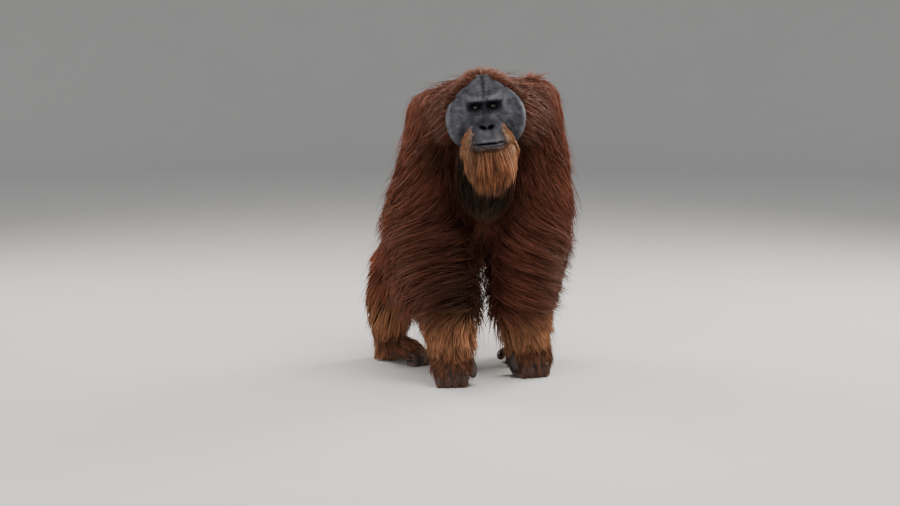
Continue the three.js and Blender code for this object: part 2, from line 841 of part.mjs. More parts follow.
for (const [tag, side] of [["r", -1], ["l", 1]]) {
  node("eye_" + tag, "eye", (grow) => inHead(eyeball(side, grow)));
  node("ear_" + tag, "face", (grow) => inHead(ear(side, grow)));
  node("cheek_pad_" + tag, "face", (grow) => cheekPad(side, grow));
}
node("head", "coat", upperHead);
node("jaw", "beard", lowerJaw);

// How the coat lies on each part of the body, as a way in space at a place
const torsoWay = (u, point, normal) => frameAt(torso, u).along.addScaledVector(DOWN, 0.75);
const neckWay = () => vec(0, 0.8, -0.55);
const throatWay = () => vec(0, 0.1, -1);
const armWay = (body, outer) => (u) => {
  const sweep = smooth(0.3, 0.74, u) * (1 - smooth(0.86, 0.97, u));
  return frameAt(body, u)
    .along.multiplyScalar(1 - 0.6 * sweep)
    .add(vec(outer * mix(0.3, 0.85, sweep), mix(0.12, 0.35, sweep), 0));
};
const legWay = (body, outer) => (u) =>
  frameAt(body, u).along.addScaledVector(DOWN, 0.5).add(vec(outer * 0.2, 0.15, 0));

const limbs = { torso, neck, throat, armRight, armLeft, legRight, legLeft };
const without = (...bodies) => Object.values(limbs).filter((body) => !bodies.includes(body));

const chestLocks = coatLocks(torso, {
  u0: 0.14, u1: WAIST - 0.05, rows: 3, spacing: 122, length: 175,
  way: torsoWay, core: CORE, others: without(torso),
});
const hipsLocks = coatLocks(torso, {
  u0: WAIST + 0.07, u1: 0.93, rows: 4, spacing: 164, length: 175,
  way: torsoWay, core: CORE, others: without(torso), pick: 9,
});
const neckLocks = coatLocks(neck, {
  u0: 0.84, u1: 0.16, rows: 3, spacing: 110, length: 125, lift: 14,
  way: neckWay, core: 12, others: without(neck),
});
const throatLocks = coatLocks(throat, {
  u0: 0.2, u1: 0.52, rows: 2, spacing: 104, length: 120, lift: 16,
  way: throatWay, core: 4, others: [torso],
});
node("neck", "coat", (grow) =>
  withLocks(stretch(neck, { rings: 3, sides: 12, grow: grow + 12 }), neckLocks, grow),
);
node("throat", "coat", (grow) =>
  withLocks(stretch(throat, { rings: 4, sides: 10, grow: grow + 4 }), throatLocks, grow),
);
node("chest", "coat", (grow) =>
  withLocks(stretch(torso, { u1: WAIST, rings: 5, sides: 14, grow: grow + CORE }), chestLocks, grow),
);
node("hips", "coat", (grow) =>
  withLocks(stretch(torso, { u0: WAIST, rings: 5, sides: 14, grow: grow + CORE }), hipsLocks, grow),
);
for (const [tag, arm, outer, hand, inner, pick] of [
  ["r", armRight, -1, { x: -100, y: -232, turn: 6 }, 1, 13],
  ["l", armLeft, 1, { x: 162, y: -62, turn: 24 }, -1, 3],
]) {
  const way = armWay(arm, outer);
  const upper = coatLocks(arm, {
    u0: 0.06, u1: ELBOW - 0.06, rows: 4, spacing: 126, length: 165, lift: 28,
    way, core: CORE, others: without(arm),
  });
  const fore = coatLocks(arm, {
    u0: ELBOW + 0.06, u1: 0.88, rows: 3, spacing: 150, length: 135, lift: 22,
    way, core: 12, others: without(arm), pick,
  });
  node("upper_arm_" + tag, "coat", (grow) =>
    withLocks(stretch(arm, { u1: ELBOW, rings: 6, sides: 10, grow: grow + CORE }), upper, grow),
  );
  node("forearm_" + tag, "coat", (grow) =>
    withLocks(stretch(arm, { u0: ELBOW, rings: 4, sides: 10, grow: grow + 12 }), fore, grow),
  );
  node("hand_" + tag, "coat_light", (grow) => placed(fist(inner, grow), hand));
}
for (const [tag, leg, outer, place, inner] of [
  ["r", legRight, -1, { x: -270, y: 224, turn: 44 }, 1],
  ["l", legLeft, 1, { x: 136, y: 235, turn: -6 }, -1],
]) {
  const way = legWay(leg, outer);
  const upper = coatLocks(leg, {
    u0: 0.2, u1: KNEE - 0.05, rows: 2, spacing: 104, length: 150, way, core: 14, others: without(leg),
  });
  const lower = coatLocks(leg, {
    u0: KNEE + 0.1, u1: 0.8, rows: 1, spacing: 80, length: 140, lift: 15, way, core: 9, others: without(leg),
  });
  node("thigh_" + tag, "coat", (grow) =>
    withLocks(stretch(leg, { u1: KNEE, rings: 5, sides: 10, grow: grow + 14 }), upper, grow),
  );
  node("shin_" + tag, "coat", (grow) =>
    withLocks(stretch(leg, { u0: KNEE, rings: 4, sides: 10, grow: grow + 9 }), lower, grow),
  );
  node("foot_" + tag, "coat_light", (grow) => placed(foot(inner, grow), place));
}

// The model

const orangutan = new THREE.Group();
for (const [name, look, solid] of nodes) {
  const { vertProperties, triVerts } = solid.getMesh();
  const geometry = new THREE.BufferGeometry();
  geometry.setAttribute("position", new THREE.BufferAttribute(vertProperties, 3));
  geometry.setIndex(new THREE.BufferAttribute(triVerts, 1));
  geometry.computeVertexNormals();
  const mesh = new THREE.Mesh(geometry, new THREE.MeshStandardMaterial({ metalness: 0, ...LOOKS[look] }));
  mesh.name = name;
  orangutan.add(mesh);
}

// The origin is on the floor, under the middle of the box that holds the animal
const around = new THREE.Box3().setFromObject(orangutan);
orangutan.position.set(-(around.min.x + around.max.x) / 2, -(around.min.y + around.max.y) / 2, 0);

export default orangutan;
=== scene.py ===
import math

import bmesh
import bpy
import numpy as np
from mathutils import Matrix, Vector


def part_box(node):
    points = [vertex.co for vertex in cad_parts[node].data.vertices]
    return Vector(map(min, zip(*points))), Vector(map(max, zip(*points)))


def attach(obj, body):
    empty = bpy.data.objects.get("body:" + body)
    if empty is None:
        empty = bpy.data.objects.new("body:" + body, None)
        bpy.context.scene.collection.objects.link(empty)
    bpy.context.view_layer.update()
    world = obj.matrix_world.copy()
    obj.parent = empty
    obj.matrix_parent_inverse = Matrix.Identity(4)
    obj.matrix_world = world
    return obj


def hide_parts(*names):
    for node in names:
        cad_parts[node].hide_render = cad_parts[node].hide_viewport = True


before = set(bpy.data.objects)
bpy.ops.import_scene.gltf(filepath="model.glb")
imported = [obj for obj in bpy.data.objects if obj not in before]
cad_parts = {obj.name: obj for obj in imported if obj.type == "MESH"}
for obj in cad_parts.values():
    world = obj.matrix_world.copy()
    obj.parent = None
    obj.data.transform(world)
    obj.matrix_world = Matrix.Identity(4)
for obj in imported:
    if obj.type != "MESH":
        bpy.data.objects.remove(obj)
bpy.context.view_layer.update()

# A full-grown male orangutan with wide cheek pads, standing on its fists and curled feet.
# Shapes are worked out in millimetres in the modelling frame: the floor is z = 0, the animal faces -Y
# and its right side is -X. to_row() puts them in metres in the frame's own place.

MM = 0.001
EYE_MIDDLE = np.array([0.0, -395.0, 895.0])
EYE = {"x": 27.0, "y": 14.0, "radius": 12.5}
HEAD_ROLL = math.radians(-6)
DOWN = np.array([0.0, 0.0, -1.0])
SEED = 11

eyes_seen = [np.array(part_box(name)).mean(0) for name in ("eye_r", "eye_l")]
SHIFT = (eyes_seen[0] + eyes_seen[1]) / 2 - (EYE_MIDDLE + [0, EYE["y"], 0]) * MM


def to_row(points):
    return np.asarray(points) * MM + SHIFT


def smooth(low, high, value):
    t = np.clip((np.asarray(value, float) - low) / (high - low), 0, 1)
    return t * t * (3 - 2 * t)


def mix(a, b, t):
    return a + (b - a) * t


def rise(centre, reach, value):
    """A rounded rise of 1 at a centre"""
    return np.exp(-(((value - centre) / reach) ** 2))


def dot(a, b):
    return (a * b).sum(-1)


def unit(v):
    return v / np.maximum(np.linalg.norm(v, axis=-1, keepdims=True), 1e-9)


def paint(red, green, blue):
    """A colour from its everyday 0 to 255 values, as linear light"""
    values = np.array([red, green, blue]) / 255
    return np.where(values <= 0.04045, values / 12.92, ((values + 0.055) / 1.055) ** 2.4)


def lumps(a, b, size, seed):
    """Soft bumps of about one size over two directions, from -1 to 1"""
    table = np.random.default_rng(seed).uniform(-1, 1, (64, 64))
    a = np.asarray(a, float) / size + 640
    b = np.asarray(b, float) / size + 640
    i, j = np.floor(a).astype(int), np.floor(b).astype(int)
    s, t = smooth(0, 1, a - i), smooth(0, 1, b - j)
    at = lambda p, q: table[p % 64, q % 64]
    return mix(mix(at(i, j), at(i + 1, j), s), mix(at(i, j + 1), at(i + 1, j + 1), s), t)


def turned(points, angle):
    """Turned about the upright"""
    c, s = math.cos(angle), math.sin(angle)
    return points @ np.array([[c, s, 0], [-s, c, 0], [0, 0, 1]])


def in_head(points):
    """From the head's own frame to the modelling frame"""
    c, s = math.cos(HEAD_ROLL), math.sin(HEAD_ROLL)
    return points @ np.array([[c, 0, -s], [0, 1, 0], [s, 0, c]]) + EYE_MIDDLE


def as_it_is(points):
    """For what is already in the modelling frame"""
    return points


# Limbs: bent bodies of oval sections through a few stations [x, y, z, half width, half depth]


class Limb:
    def __init__(self, stations, cap_start=0.12, cap_end=0.12):
        self.stations = np.array(stations, float)
        self.cap_start = cap_start
        self.cap_end = cap_end
        self.length = np.linalg.norm(np.diff(self.stations[:, :3], axis=0), axis=1).sum()

    def station(self, u):
        """A smooth curve through the stations, at u from 0 to 1"""
        s = self.stations
        last = len(s) - 1
        place = np.clip(u, 0, 1) * last
        k = np.minimum(last - 1, np.floor(place).astype(int))
        t = (place - k)[:, None]
        p1, p2 = s[k], s[k + 1]
        p0 = np.where((k > 0)[:, None], s[np.maximum(k - 1, 0)], 2 * p1 - p2)
        p3 = np.where((k + 2 <= last)[:, None], s[np.minimum(k + 2, last)], 2 * p2 - p1)
        return 0.5 * (
            2 * p1
            + (p2 - p0) * t
            + (2 * p0 - 5 * p1 + 4 * p2 - p3) * t**2
            + (3 * p1 - p0 - 3 * p2 + p3) * t**3
        )

    def frame(self, u):
        u = np.asarray(u, float)
        here = self.station(u)
        ahead = self.station(np.minimum(1, u + 0.01))
        behind = self.station(np.maximum(0, u - 0.01))
        along = unit((ahead - behind)[:, :3])
        across = np.array([1.0, 0.0, 0.0])
        side = unit(across - along * dot(along, across)[:, None])
        centre = here[:, :3] + along * ((u - np.clip(u, 0, 1)) * self.length)[:, None]
        return centre, along, side, np.cross(along, side), here[:, 3], here[:, 4]

    def cap(self, u):
        start = np.maximum(0, (self.cap_start - u) / self.cap_start)
        end = np.maximum(0, (u - 1 + self.cap_end) / self.cap_end)
        return np.sqrt(np.maximum(0, 1 - start**2)) * np.sqrt(np.maximum(0, 1 - end**2))

    def skin(self, u, angle, grow=0.0):
        """Points of the skin, or of a skin grown outwards"""
        centre, along, side, up, wide, deep = self.frame(u)
        cap = self.cap(u)
        past = np.sqrt(1 - cap * cap) * grow * np.where(u < 0.5, -1, 1)
        return (
            centre
            + along * past[:, None]
            + side * ((wide + grow) * cap * np.cos(angle))[:, None]
            + up * ((deep + grow) * cap * np.sin(angle))[:, None]
        )

    def tangents(self, u, angle):
        """The skin's point, outward normal and the two ways along it"""
        step = 0.004
        point = self.skin(u, angle)
        along = (self.skin(u + step, angle) - self.skin(u - step, angle)) / (2 * step)
        around = (self.skin(u, angle + step) - self.skin(u, angle - step)) / (2 * step)
        normal = unit(np.cross(around, along))
        centre = self.frame(u)[0]
        inward = dot(normal, point - centre) < 0
        return point, np.where(inward[:, None], -normal, normal), along, around

    def holds(self, points, margin=0.0):
        """True where a point lies inside the flesh"""
        steps = 28
        axis = self.station(np.linspace(0, 1, steps + 1))[:, :3]
        nearest = np.full(len(points), np.inf)
        best = np.zeros(len(points))
        for k, place in enumerate(axis):
            away = np.linalg.norm(points - place, axis=1)
            closer = away < nearest
            nearest[closer] = away[closer]
            best[closer] = k / steps
        centre, along, side, up, wide, deep = self.frame(best)
        cap = self.cap(best)
        away = points - centre
        across = dot(away, side) / (wide * cap + margin)
        over = dot(away, up) / (deep * cap + margin)
        return (across**2 + over**2 < 1) & (np.abs(dot(away, along)) < self.length / steps + margin)

    def loft(self, rings, sides, grow=0.0):
        """A closed mesh of the limb: points and faces"""
        turns = np.array([1.45, 1.2, 0.95, 0.7, 0.45, 0.2])
        places = np.concatenate([
            self.cap_start * (1 - np.sin(turns)),
            np.linspace(self.cap_start, 1 - self.cap_end, rings),
            1 - self.cap_end * (1 - np.sin(turns[::-1])),
        ])
        angles = np.arange(sides) * 2 * math.pi / sides
        u = np.repeat(places, sides)
        ring_points = self.skin(u, np.tile(angles, len(places)), grow)
        ends = self.frame(np.array([0.0, 1.0]))
        first = ends[0][0] - ends[1][0] * grow
        last = ends[0][1] + ends[1][1] * grow
        points = np.vstack([ring_points, first, last])
        faces = []
        for r in range(len(places) - 1):
            for k in range(sides):
                a, b = r * sides + k, r * sides + (k + 1) % sides
                faces.append((a, b, b + sides, a + sides))
        start, end = len(ring_points), len(ring_points) + 1
        base = (len(places) - 1) * sides
        for k in range(sides):
            faces.append((start, (k + 1) % sides, k))
            faces.append((end, base + k, base + (k + 1) % sides))
        return points, faces


torso = Limb([
    [0, -190, 775, 95, 90],
    [0, -120, 765, 165, 140],
    [0, -30, 745, 198, 172],
    [0, 90, 700, 205, 188],
    [0, 210, 625, 200, 192],
    [0, 320, 545, 185, 175],
    [0, 410, 490, 152, 138],
    [0, 480, 455, 100, 85],
], 0.14, 0.16)
arm_right = Limb([
    [-118, -42, 922, 110, 112],
    [-134, -60, 836, 100, 112],
    [-146, -78, 744, 94, 107],
    [-160, -92, 640, 100, 100],
    [-170, -104, 545, 110, 96],
    [-159, -120, 450, 109, 92],
    [-141, -150, 340, 100, 86],
    [-112, -186, 230, 76, 66],
    [-100, -214, 135, 50, 44],
], cap_end=0.04)
arm_left = Limb([
    [120, -35, 956, 114, 112],
    [142, -52, 866, 98, 112],
    [150, -64, 764, 94, 107],
    [154, -70, 655, 98, 100],
    [157, -68, 560, 101, 94],
    [147, -62, 455, 95, 88],
    [133, -60, 345, 86, 80],
    [129, -60, 235, 71, 64],
    [152, -56, 135, 50, 44],
], cap_end=0.04)
leg_right = Limb([
    [-70, 330, 560, 100, 110],
    [-130, 290, 480, 95, 110],
    [-214, 235, 400, 82, 95],
    [-276, 200, 315, 68, 76],
    [-302, 225, 212, 58, 58],
    [-310, 266, 105, 42, 44],
    [-312, 272, 62, 38, 42],
], cap_end=0.04)
leg_left = Limb([
    [70, 330, 560, 100, 110],
    [108, 290, 480, 100, 110],
    [142, 240, 400, 80, 95],
    [150, 205, 315, 62, 76],
    [142, 240, 212, 54, 58],
    [138, 290, 105, 42, 44],
    [138, 298, 62, 38, 42],
], cap_end=0.04)
neck = Limb([
    [10, -50, 846, 172, 112],
    [8, -150, 858, 154, 106],
    [0, -240, 872, 116, 90],
    [0, -305, 878, 82, 74],
], 0.1, 0.1)
throat = Limb([
    [4, -300, 800, 66, 66],
    [6, -288, 735, 80, 84],
    [6, -262, 660, 80, 90],
    [4, -222, 580, 60, 74],
], 0.25, 0.3)
BODY = [torso, arm_right, arm_left, leg_right, leg_left, neck, throat]

# In the head's own frame
skull = Limb([
    [0, 34, 16, 74, 72],
    [0, 60, 20, 82, 80],
    [0, 95, 18, 86, 84],
    [0, 150, 5, 82, 78],
    [0, 195, -8, 62, 60],
], 0.2, 0.2)
jawbone = Limb([
    [0, -40, -124, 44, 20],
    [0, 0, -116, 60, 34],
    [0, 60, -96, 64, 44],
    [0, 105, -80, 60, 46],
], 0.15, 0.15)
chin = Limb([
    [0, -12, -114, 80, 36],
    [0, -20, -152, 76, 40],
    [0, -20, -194, 58, 26],
], 0.15, 0.3)


def hand_limbs(inner):
    """The back of the hand, four folded fingers and the thumb, with the knuckles to -Y"""
    back = Limb([
        [0, 14, 150, 44, 36],
        [0, 8, 110, 50, 34],
        [0, -4, 70, 55, 26],
        [0, -14, 36, 50, 18],
    ], cap_end=0.16)
    digits = []
    for k in range(4):
        x = inner * (k - 1.5) * 26
        r = 12.8 - 0.5 * abs(k - 1.4)
        digits.append(Limb([
            [x, -16, 42, r, r],
            [x, -20, 13, r, r],
            [x, 30, 9, r, r],
            [x, 66, 24, r - 0.5, r - 0.5],
            [x, 56, 52, r - 2, r - 2],
        ], 0.1, 0.16))
    thumb = Limb([
        [inner * 40, 12, 98, 16, 15],
        [inner * 62, 2, 74, 15, 14],
        [inner * 68, -10, 48, 12, 12],
        [inner * 64, -18, 30, 9, 9],
    ], 0.1, 0.16)
    return back, digits, thumb


def foot_limbs(inner):
    """The sole and heel, four curled toes and the great toe, with the toes to -Y"""
    sole = Limb([
        [0, 108, 34, 30, 34],
        [0, 70, 40, 38, 44],
        [0, 20, 48, 42, 40],
        [0, -34, 42, 47, 30],
        [0, -74, 36, 46, 22],
    ])
    digits = []
    for k in range(4):
        x = inner * (k - 1.5) * 23
        r = 11.3 - 0.4 * abs(k - 1.5)
        reach = -104 - 8 * math.sin(math.pi * (k + 0.8) / 4)
        digits.append(Limb([
            [x, -62, 36, r, r],
            [x, reach + 8, 36, r, r],
            [x, reach - 4, 15, r, r],
            [x, reach + 20, 7.5, r - 0.5, r - 0.5],
            [x, reach + 44, 13, r - 1.5, r - 1.5],
        ], 0.1, 0.16))
    great = Limb([
        [inner * 30, 30, 34, 17, 16],
        [inner * 56, 6, 30, 16, 15],
        [inner * 68, -24, 24, 14, 14],
        [inner * 62, -48, 17, 12, 12],
    ], 0.1, 0.16)
    return sole, digits, great


HANDS = {"r": (-100, -232, 6, 1), "l": (162, -62, 24, -1)}
FEET = {"r": (-270, 224, 44, 1), "l": (136, 235, -6, -1)}


def placed(points, place):
    """From a hand's or foot's own frame, on the floor, to the modelling frame"""
    x, y, turn, _ = place
    return turned(points, math.radians(turn)) + np.array([x, y, 0])


# The face: how far it stands out of the plane of the eyes, at x across and z over the eyes

NOSTRIL = {"x": 12.0, "z": -60.0}
MOUTH = {"z": -108.0, "half": 56.0}
BEARD_END = -266.0
FACE_OUTLINE = [
    [-150, 36], [-142, 50], [-132, 60], [-122, 70], [-114, 84], [-104, 97], [-90, 107], [-70, 115],
    [-45, 120], [-20, 119], [0, 114], [18, 106], [34, 93], [50, 77], [68, 55], [82, 36], [95, 15],
]
MUZZLE_OUT = [
    [-152, 16], [-145, 40], [-135, 58], [-124, 70], [-112, 77], [-100, 79], [-88, 77], [-74, 68],
    [-62, 52], [-50, 33], [-36, 13], [-22, 0],
]
MUZZLE_HALF = [[-152, 52], [-135, 66], [-110, 74], [-90, 70], [-70, 60], [-50, 46], [-20, 30]]


def curve(pairs, place):
    """A smooth curve through [place, value] pairs"""
    pairs = np.array(pairs, float)
    at = np.clip(place, pairs[0, 0], pairs[-1, 0])
    k = np.clip(np.searchsorted(pairs[:, 0], at, side="left") - 1, 0, len(pairs) - 2)
    before = pairs[np.maximum(np.arange(len(pairs)) - 1, 0)]
    after = pairs[np.minimum(np.arange(len(pairs)) + 1, len(pairs) - 1)]
    slope = (after[:, 1] - before[:, 1]) / (after[:, 0] - before[:, 0])
    width = pairs[k + 1, 0] - pairs[k, 0]
    t = (at - pairs[k, 0]) / width
    return (
        (2 * t**3 - 3 * t**2 + 1) * pairs[k, 1]
        + (t**3 - 2 * t**2 + t) * width * slope[k]
        + (3 * t**2 - 2 * t**3) * pairs[k + 1, 1]
        + (t**3 - t**2) * width * slope[k + 1]
    )


def face_out(x, z):
    """The face's main forms, the same as in the solids"""
    across = np.abs(x)
    edge = curve(FACE_OUTLINE, z) - across
    upper = smooth(-125, -100, z)
    out = -0.0042 * np.maximum(0, z - 22) ** 2
    out = out - 12 * rise(82, 22, across) * upper
    out += (5 * rise(9, 8, edge) - 7 * (1 - smooth(0, 5, edge))) * upper
    out += 7 * (1 - smooth(34, 62, across))
    out += 16 * rise(19, 9, z) * smooth(3, 14, across) * (1 - smooth(42, 62, across))
    out += 5 * rise(50, 12, across) * rise(20, 12, z)
    out -= 18 * rise(EYE["x"], 17, across) * rise(-1, 11, z)
    out += 5 * rise(0, 7, across) * smooth(-50, -38, z) * (1 - smooth(-2, 8, z))
    out -= 5 * rise(0, 6, across) * smooth(24, 42, z) * (1 - smooth(80, 92, z))
    out += curve(MUZZLE_OUT, z) * (1 - smooth(0.3, 1, across / curve(MUZZLE_HALF, z)))
    out += 7 * rise(NOSTRIL["x"] + 4, 7, across) * rise(NOSTRIL["z"] + 2, 7, z)
    out += 4 * rise(0, 7, across) * rise(NOSTRIL["z"] + 4, 7, z)
    lips = 1 - smooth(MOUTH["half"] - 12, MOUTH["half"] + 4, across)
    out += 4 * rise(MOUTH["z"] + 7, 5, z) * lips
    out += 3 * rise(MOUTH["z"] - 8, 5, z) * lips
    out -= 9 * rise(MOUTH["z"], 2.6, z) * lips
    return out


def face_folds(x, z):
    """The fine forms of the face: folds, creases, nostrils and lips"""
    across = np.abs(x)
    lips = 1 - smooth(MOUTH["half"] - 12, MOUTH["half"] + 4, across)
    edge = curve(FACE_OUTLINE, z) - across
    waver = 2.2 * lumps(x, z, 17, 3)
    # Nostrils, slanted commas, with a wing round each
    slant = z - NOSTRIL["z"] + 2 - 0.35 * (across - NOSTRIL["x"])
    out = -15 * rise(NOSTRIL["x"], 8.0, across) * rise(0, 5.4, slant)
    out -= 5 * rise(9, 8, edge) * smooth(0, 30, z)
    out += 2.4 * rise(NOSTRIL["x"] + 11, 4.0, across) * rise(NOSTRIL["z"] + 1, 8, z)
    out -= 2.6 * rise(NOSTRIL["x"] + 18, 3.4, across) * rise(NOSTRIL["z"] + 1, 10, z)
    # The upper lip's fine level creases, and the short upright ones beside the mouth line
    lip_skin = smooth(-103, -96, z) * (1 - smooth(-78, -70, z)) * (1 - smooth(40, 60, across))
    out -= 0.55 * lip_skin * np.maximum(0, np.sin((z + waver) * 2 * math.pi / 5.2)) ** 2
    beside = rise(MOUTH["z"], 9, z) * lips
    out -= 0.6 * beside * np.maximum(0, np.sin((x + 0.6 * waver) * 2 * math.pi / 4.3)) ** 3
    # The fold between the muzzle and the cheeks
    ratio = across / curve(MUZZLE_HALF, z)
    out -= 3.2 * rise(1.0, 0.09, ratio) * smooth(-104, -88, z) * (1 - smooth(-46, -34, z))
    # Bags under the eyes and creases over them
    from_eye = np.hypot((across - EYE["x"]) / 1.3, z)
    below = smooth(2, -6, z)
    out -= 1.7 * rise(17, 1.5, from_eye) * below
    out += 1.4 * rise(20, 1.8, from_eye) * below
    out -= 1.3 * rise(24, 1.6, from_eye) * below * smooth(54, 34, across)
    out -= 1.0 * rise(0, 1.3, z - 9.5 - 0.02 * (across - EYE["x"]) ** 2) * rise(EYE["x"], 14, across)
    # Lines down and over the nose's bridge, and up the forehead
    out -= 1.6 * rise(7.5, 1.7, across + 0.9 * waver) * smooth(-40, -30, z) * (1 - smooth(-14, -6, z))
    out -= 1.1 * rise(14, 1.6, across + 0.9 * waver) * smooth(-44, -36, z) * (1 - smooth(-24, -16, z))
    bridge = rise(0, 11, across) * smooth(-34, -26, z) * (1 - smooth(10, 18, z))
    out -= 0.8 * bridge * np.maximum(0, np.sin((z + 0.8 * waver) * 2 * math.pi / 7)) ** 2
    brow = smooth(26, 38, z) * (1 - smooth(66, 84, z)) * (1 - smooth(40, 66, across))
    out -= 1.0 * brow * np.maximum(0, np.sin((z + 1.6 * waver + 0.004 * x * x) * 2 * math.pi / 10.5)) ** 4
    out -= 1.2 * rise(9, 2.0, across + 0.6 * waver) * smooth(12, 22, z) * (1 - smooth(48, 62, z))
    # Lumpy pads, with a thick rolled rim
    pads = smooth(56, 74, across) * smooth(2, 14, edge)
    out += pads * (2.0 * lumps(x, z, 17, 5) + 1.1 * lumps(x, z, 8, 6))
    out += 1.0 * smooth(20, 34, z) * smooth(2, 14, edge) * lumps(x, z, 11, 9)
    out -= pads * 1.3 * rise(0, 0.16, lumps(x, z, 21, 8))
    out += 0.35 * lumps(x, z, 4.5, 7) * (1 - lips * rise(MOUTH["z"], 4, z))
    return out


def face_surface(x, z):
    return face_out(x, z) + face_folds(x, z)


# Meshes from arrays


def mesh_piece(name, points, faces, material):
    mesh = bpy.data.meshes.new(name)
    mesh.from_pydata(np.asarray(points).tolist(), [], [tuple(int(i) for i in face) for face in faces])
    mesh.polygons.foreach_set("use_smooth", [True] * len(mesh.polygons))
    piece = bpy.data.objects.new(name, mesh)
    bpy.context.scene.collection.objects.link(piece)
    if material:
        mesh.materials.append(material)
    return piece


def add_colour(mesh, name, colours):
    layer = mesh.color_attributes.new(name=name, type="FLOAT_COLOR", domain="POINT")
    rgba = np.ones((len(mesh.vertices), 4), np.float32)
    rgba[:, :3] = colours
    layer.data.foreach_set("color", rgba.ravel())


def add_value(mesh, name, values):
    layer = mesh.attributes.new(name, "FLOAT", "POINT")
    layer.data.foreach_set("value", np.asarray(values, np.float32))


def add_vector(mesh, name, vectors):
    layer = mesh.attributes.new(name, "FLOAT_VECTOR", "POINT")
    layer.data.foreach_set("vector", np.asarray(vectors, np.float32).ravel())


def joined_mesh(parts):
    """Several (points, faces) as one"""
    points, faces, count = [], [], 0
    for part_points, part_faces in parts:
        points.append(part_points)
        faces.extend(tuple(i + count for i in face) for face in part_faces)
        count += len(part_points)
    return np.vstack(points), faces


def grown_together(parts, voxel, rounds):
    """Several closed meshes melted into one skin: points in millimetres and faces"""
    points, faces = joined_mesh(parts)
    piece = mesh_piece("melt", points * MM, faces, None)
    remesh = piece.modifiers.new("melt", "REMESH")
    remesh.mode = "VOXEL"
    remesh.voxel_size = voxel * MM
    soften = piece.modifiers.new("soften", "SMOOTH")
    soften.factor = 0.5
    soften.iterations = rounds
    evaluated = piece.evaluated_get(bpy.context.evaluated_depsgraph_get())
    mesh = bpy.data.meshes.new_from_object(evaluated)
    found = np.empty(len(mesh.vertices) * 3, np.float32)
    mesh.vertices.foreach_get("co", found)
    melted = [tuple(face.vertices) for face in mesh.polygons]
    bpy.data.objects.remove(piece)
    bpy.data.meshes.remove(mesh)
    return found.reshape(-1, 3).astype(float) / MM, melted


# Materials


def group_of(name, inputs, outputs):
    group = bpy.data.node_groups.new(name, "ShaderNodeTree")
    for label, kind, value in inputs:
        group.interface.new_socket(label, in_out="INPUT", socket_type=kind).default_value = value
    for label, kind in outputs:
        group.interface.new_socket(label, in_out="OUTPUT", socket_type=kind)
    start = group.nodes.new("NodeGroupInput")
    end = group.nodes.new("NodeGroupOutput")
    return group, start, end


def add(tree, kind, **settings):
    node = tree.nodes.new(kind)
    for key, value in settings.items():
        setattr(node, key, value)
    return node


def noise(tree, scale, detail=3.0, rough=0.55, vector=None):
    node = add(tree, "ShaderNodeTexNoise")
    node.inputs["Scale"].default_value = scale
    node.inputs["Detail"].default_value = detail
    node.inputs["Roughness"].default_value = rough
    if vector is not None:
        tree.links.new(vector, node.inputs["Vector"])
    return node.outputs["Fac"]


def math_node(tree, operation, a, b, clamp=False):
    node = add(tree, "ShaderNodeMath", operation=operation, use_clamp=clamp)
    for socket, value in zip(node.inputs, (a, b)):
        if isinstance(value, (int, float)):
            socket.default_value = value
        else:
            tree.links.new(value, socket)
    return node.outputs[0]


def scaled_colour(tree, colour, factor):
    """A colour made lighter or darker by a factor that changes over the surface"""
    node = add(tree, "ShaderNodeVectorMath", operation="SCALE")
    tree.links.new(colour, node.inputs[0])
    tree.links.new(factor, node.inputs["Scale"])
    return node.outputs[0]


def ranged(tree, value, low, high, to_low, to_high):
    node = add(tree, "ShaderNodeMapRange")
    tree.links.new(value, node.inputs["Value"])
    for label, number in (("From Min", low), ("From Max", high), ("To Min", to_low), ("To Max", to_high)):
        node.inputs[label].default_value = number
    return node.outputs["Result"]


def mottle_group():
    """Shared: a colour broken up by large and small spots, with its roughness"""
    group, start, end = group_of(
        "mottle",
        [("Colour", "NodeSocketColor", (0.1, 0.1, 0.1, 1)), ("Spots", "NodeSocketFloat", 40.0),
         ("Contrast", "NodeSocketFloat", 0.3), ("Roughness", "NodeSocketFloat", 0.6)],
        [("Colour", "NodeSocketColor"), ("Roughness", "NodeSocketFloat")],
    )
    coord = add(group, "ShaderNodeTexCoord")
    large = add(group, "ShaderNodeTexNoise")
    group.links.new(coord.outputs["Object"], large.inputs["Vector"])
    group.links.new(start.outputs["Spots"], large.inputs["Scale"])
    large.inputs["Detail"].default_value = 5
    fine = noise(group, 420, 2, 0.6, coord.outputs["Object"])
    both = math_node(group, "ADD", math_node(group, "MULTIPLY", large.outputs["Fac"], 0.72),
                     math_node(group, "MULTIPLY", fine, 0.28))
    spread = math_node(group, "MULTIPLY", math_node(group, "SUBTRACT", both, 0.5), start.outputs["Contrast"])
    factor = math_node(group, "ADD", math_node(group, "MULTIPLY", spread, 4.0), 1.0)
    group.links.new(scaled_colour(group, start.outputs["Colour"], factor), end.inputs["Colour"])
    rough = math_node(group, "ADD", start.outputs["Roughness"], spread, True)
    group.links.new(rough, end.inputs["Roughness"])
    return group


MOTTLE = mottle_group()


def material_of(name, roughness, specular):
    material = bpy.data.materials.new(name)
    material.use_nodes = True
    tree = material.node_tree
    shader = tree.nodes["Principled BSDF"]
    shader.inputs["Roughness"].default_value = roughness
    shader.inputs["Specular IOR Level"].default_value = specular
    return material, tree, shader


def mottled(tree, colour, spots, contrast, roughness):
    node = add(tree, "ShaderNodeGroup", node_tree=MOTTLE)
    if isinstance(colour, tuple):
        node.inputs["Colour"].default_value = colour
    else:
        tree.links.new(colour, node.inputs["Colour"])
    node.inputs["Spots"].default_value = spots
    node.inputs["Contrast"].default_value = contrast
    node.inputs["Roughness"].default_value = roughness
    return node


def attribute(tree, name, output="Color"):
    return add(tree, "ShaderNodeAttribute", attribute_name=name).outputs[output]


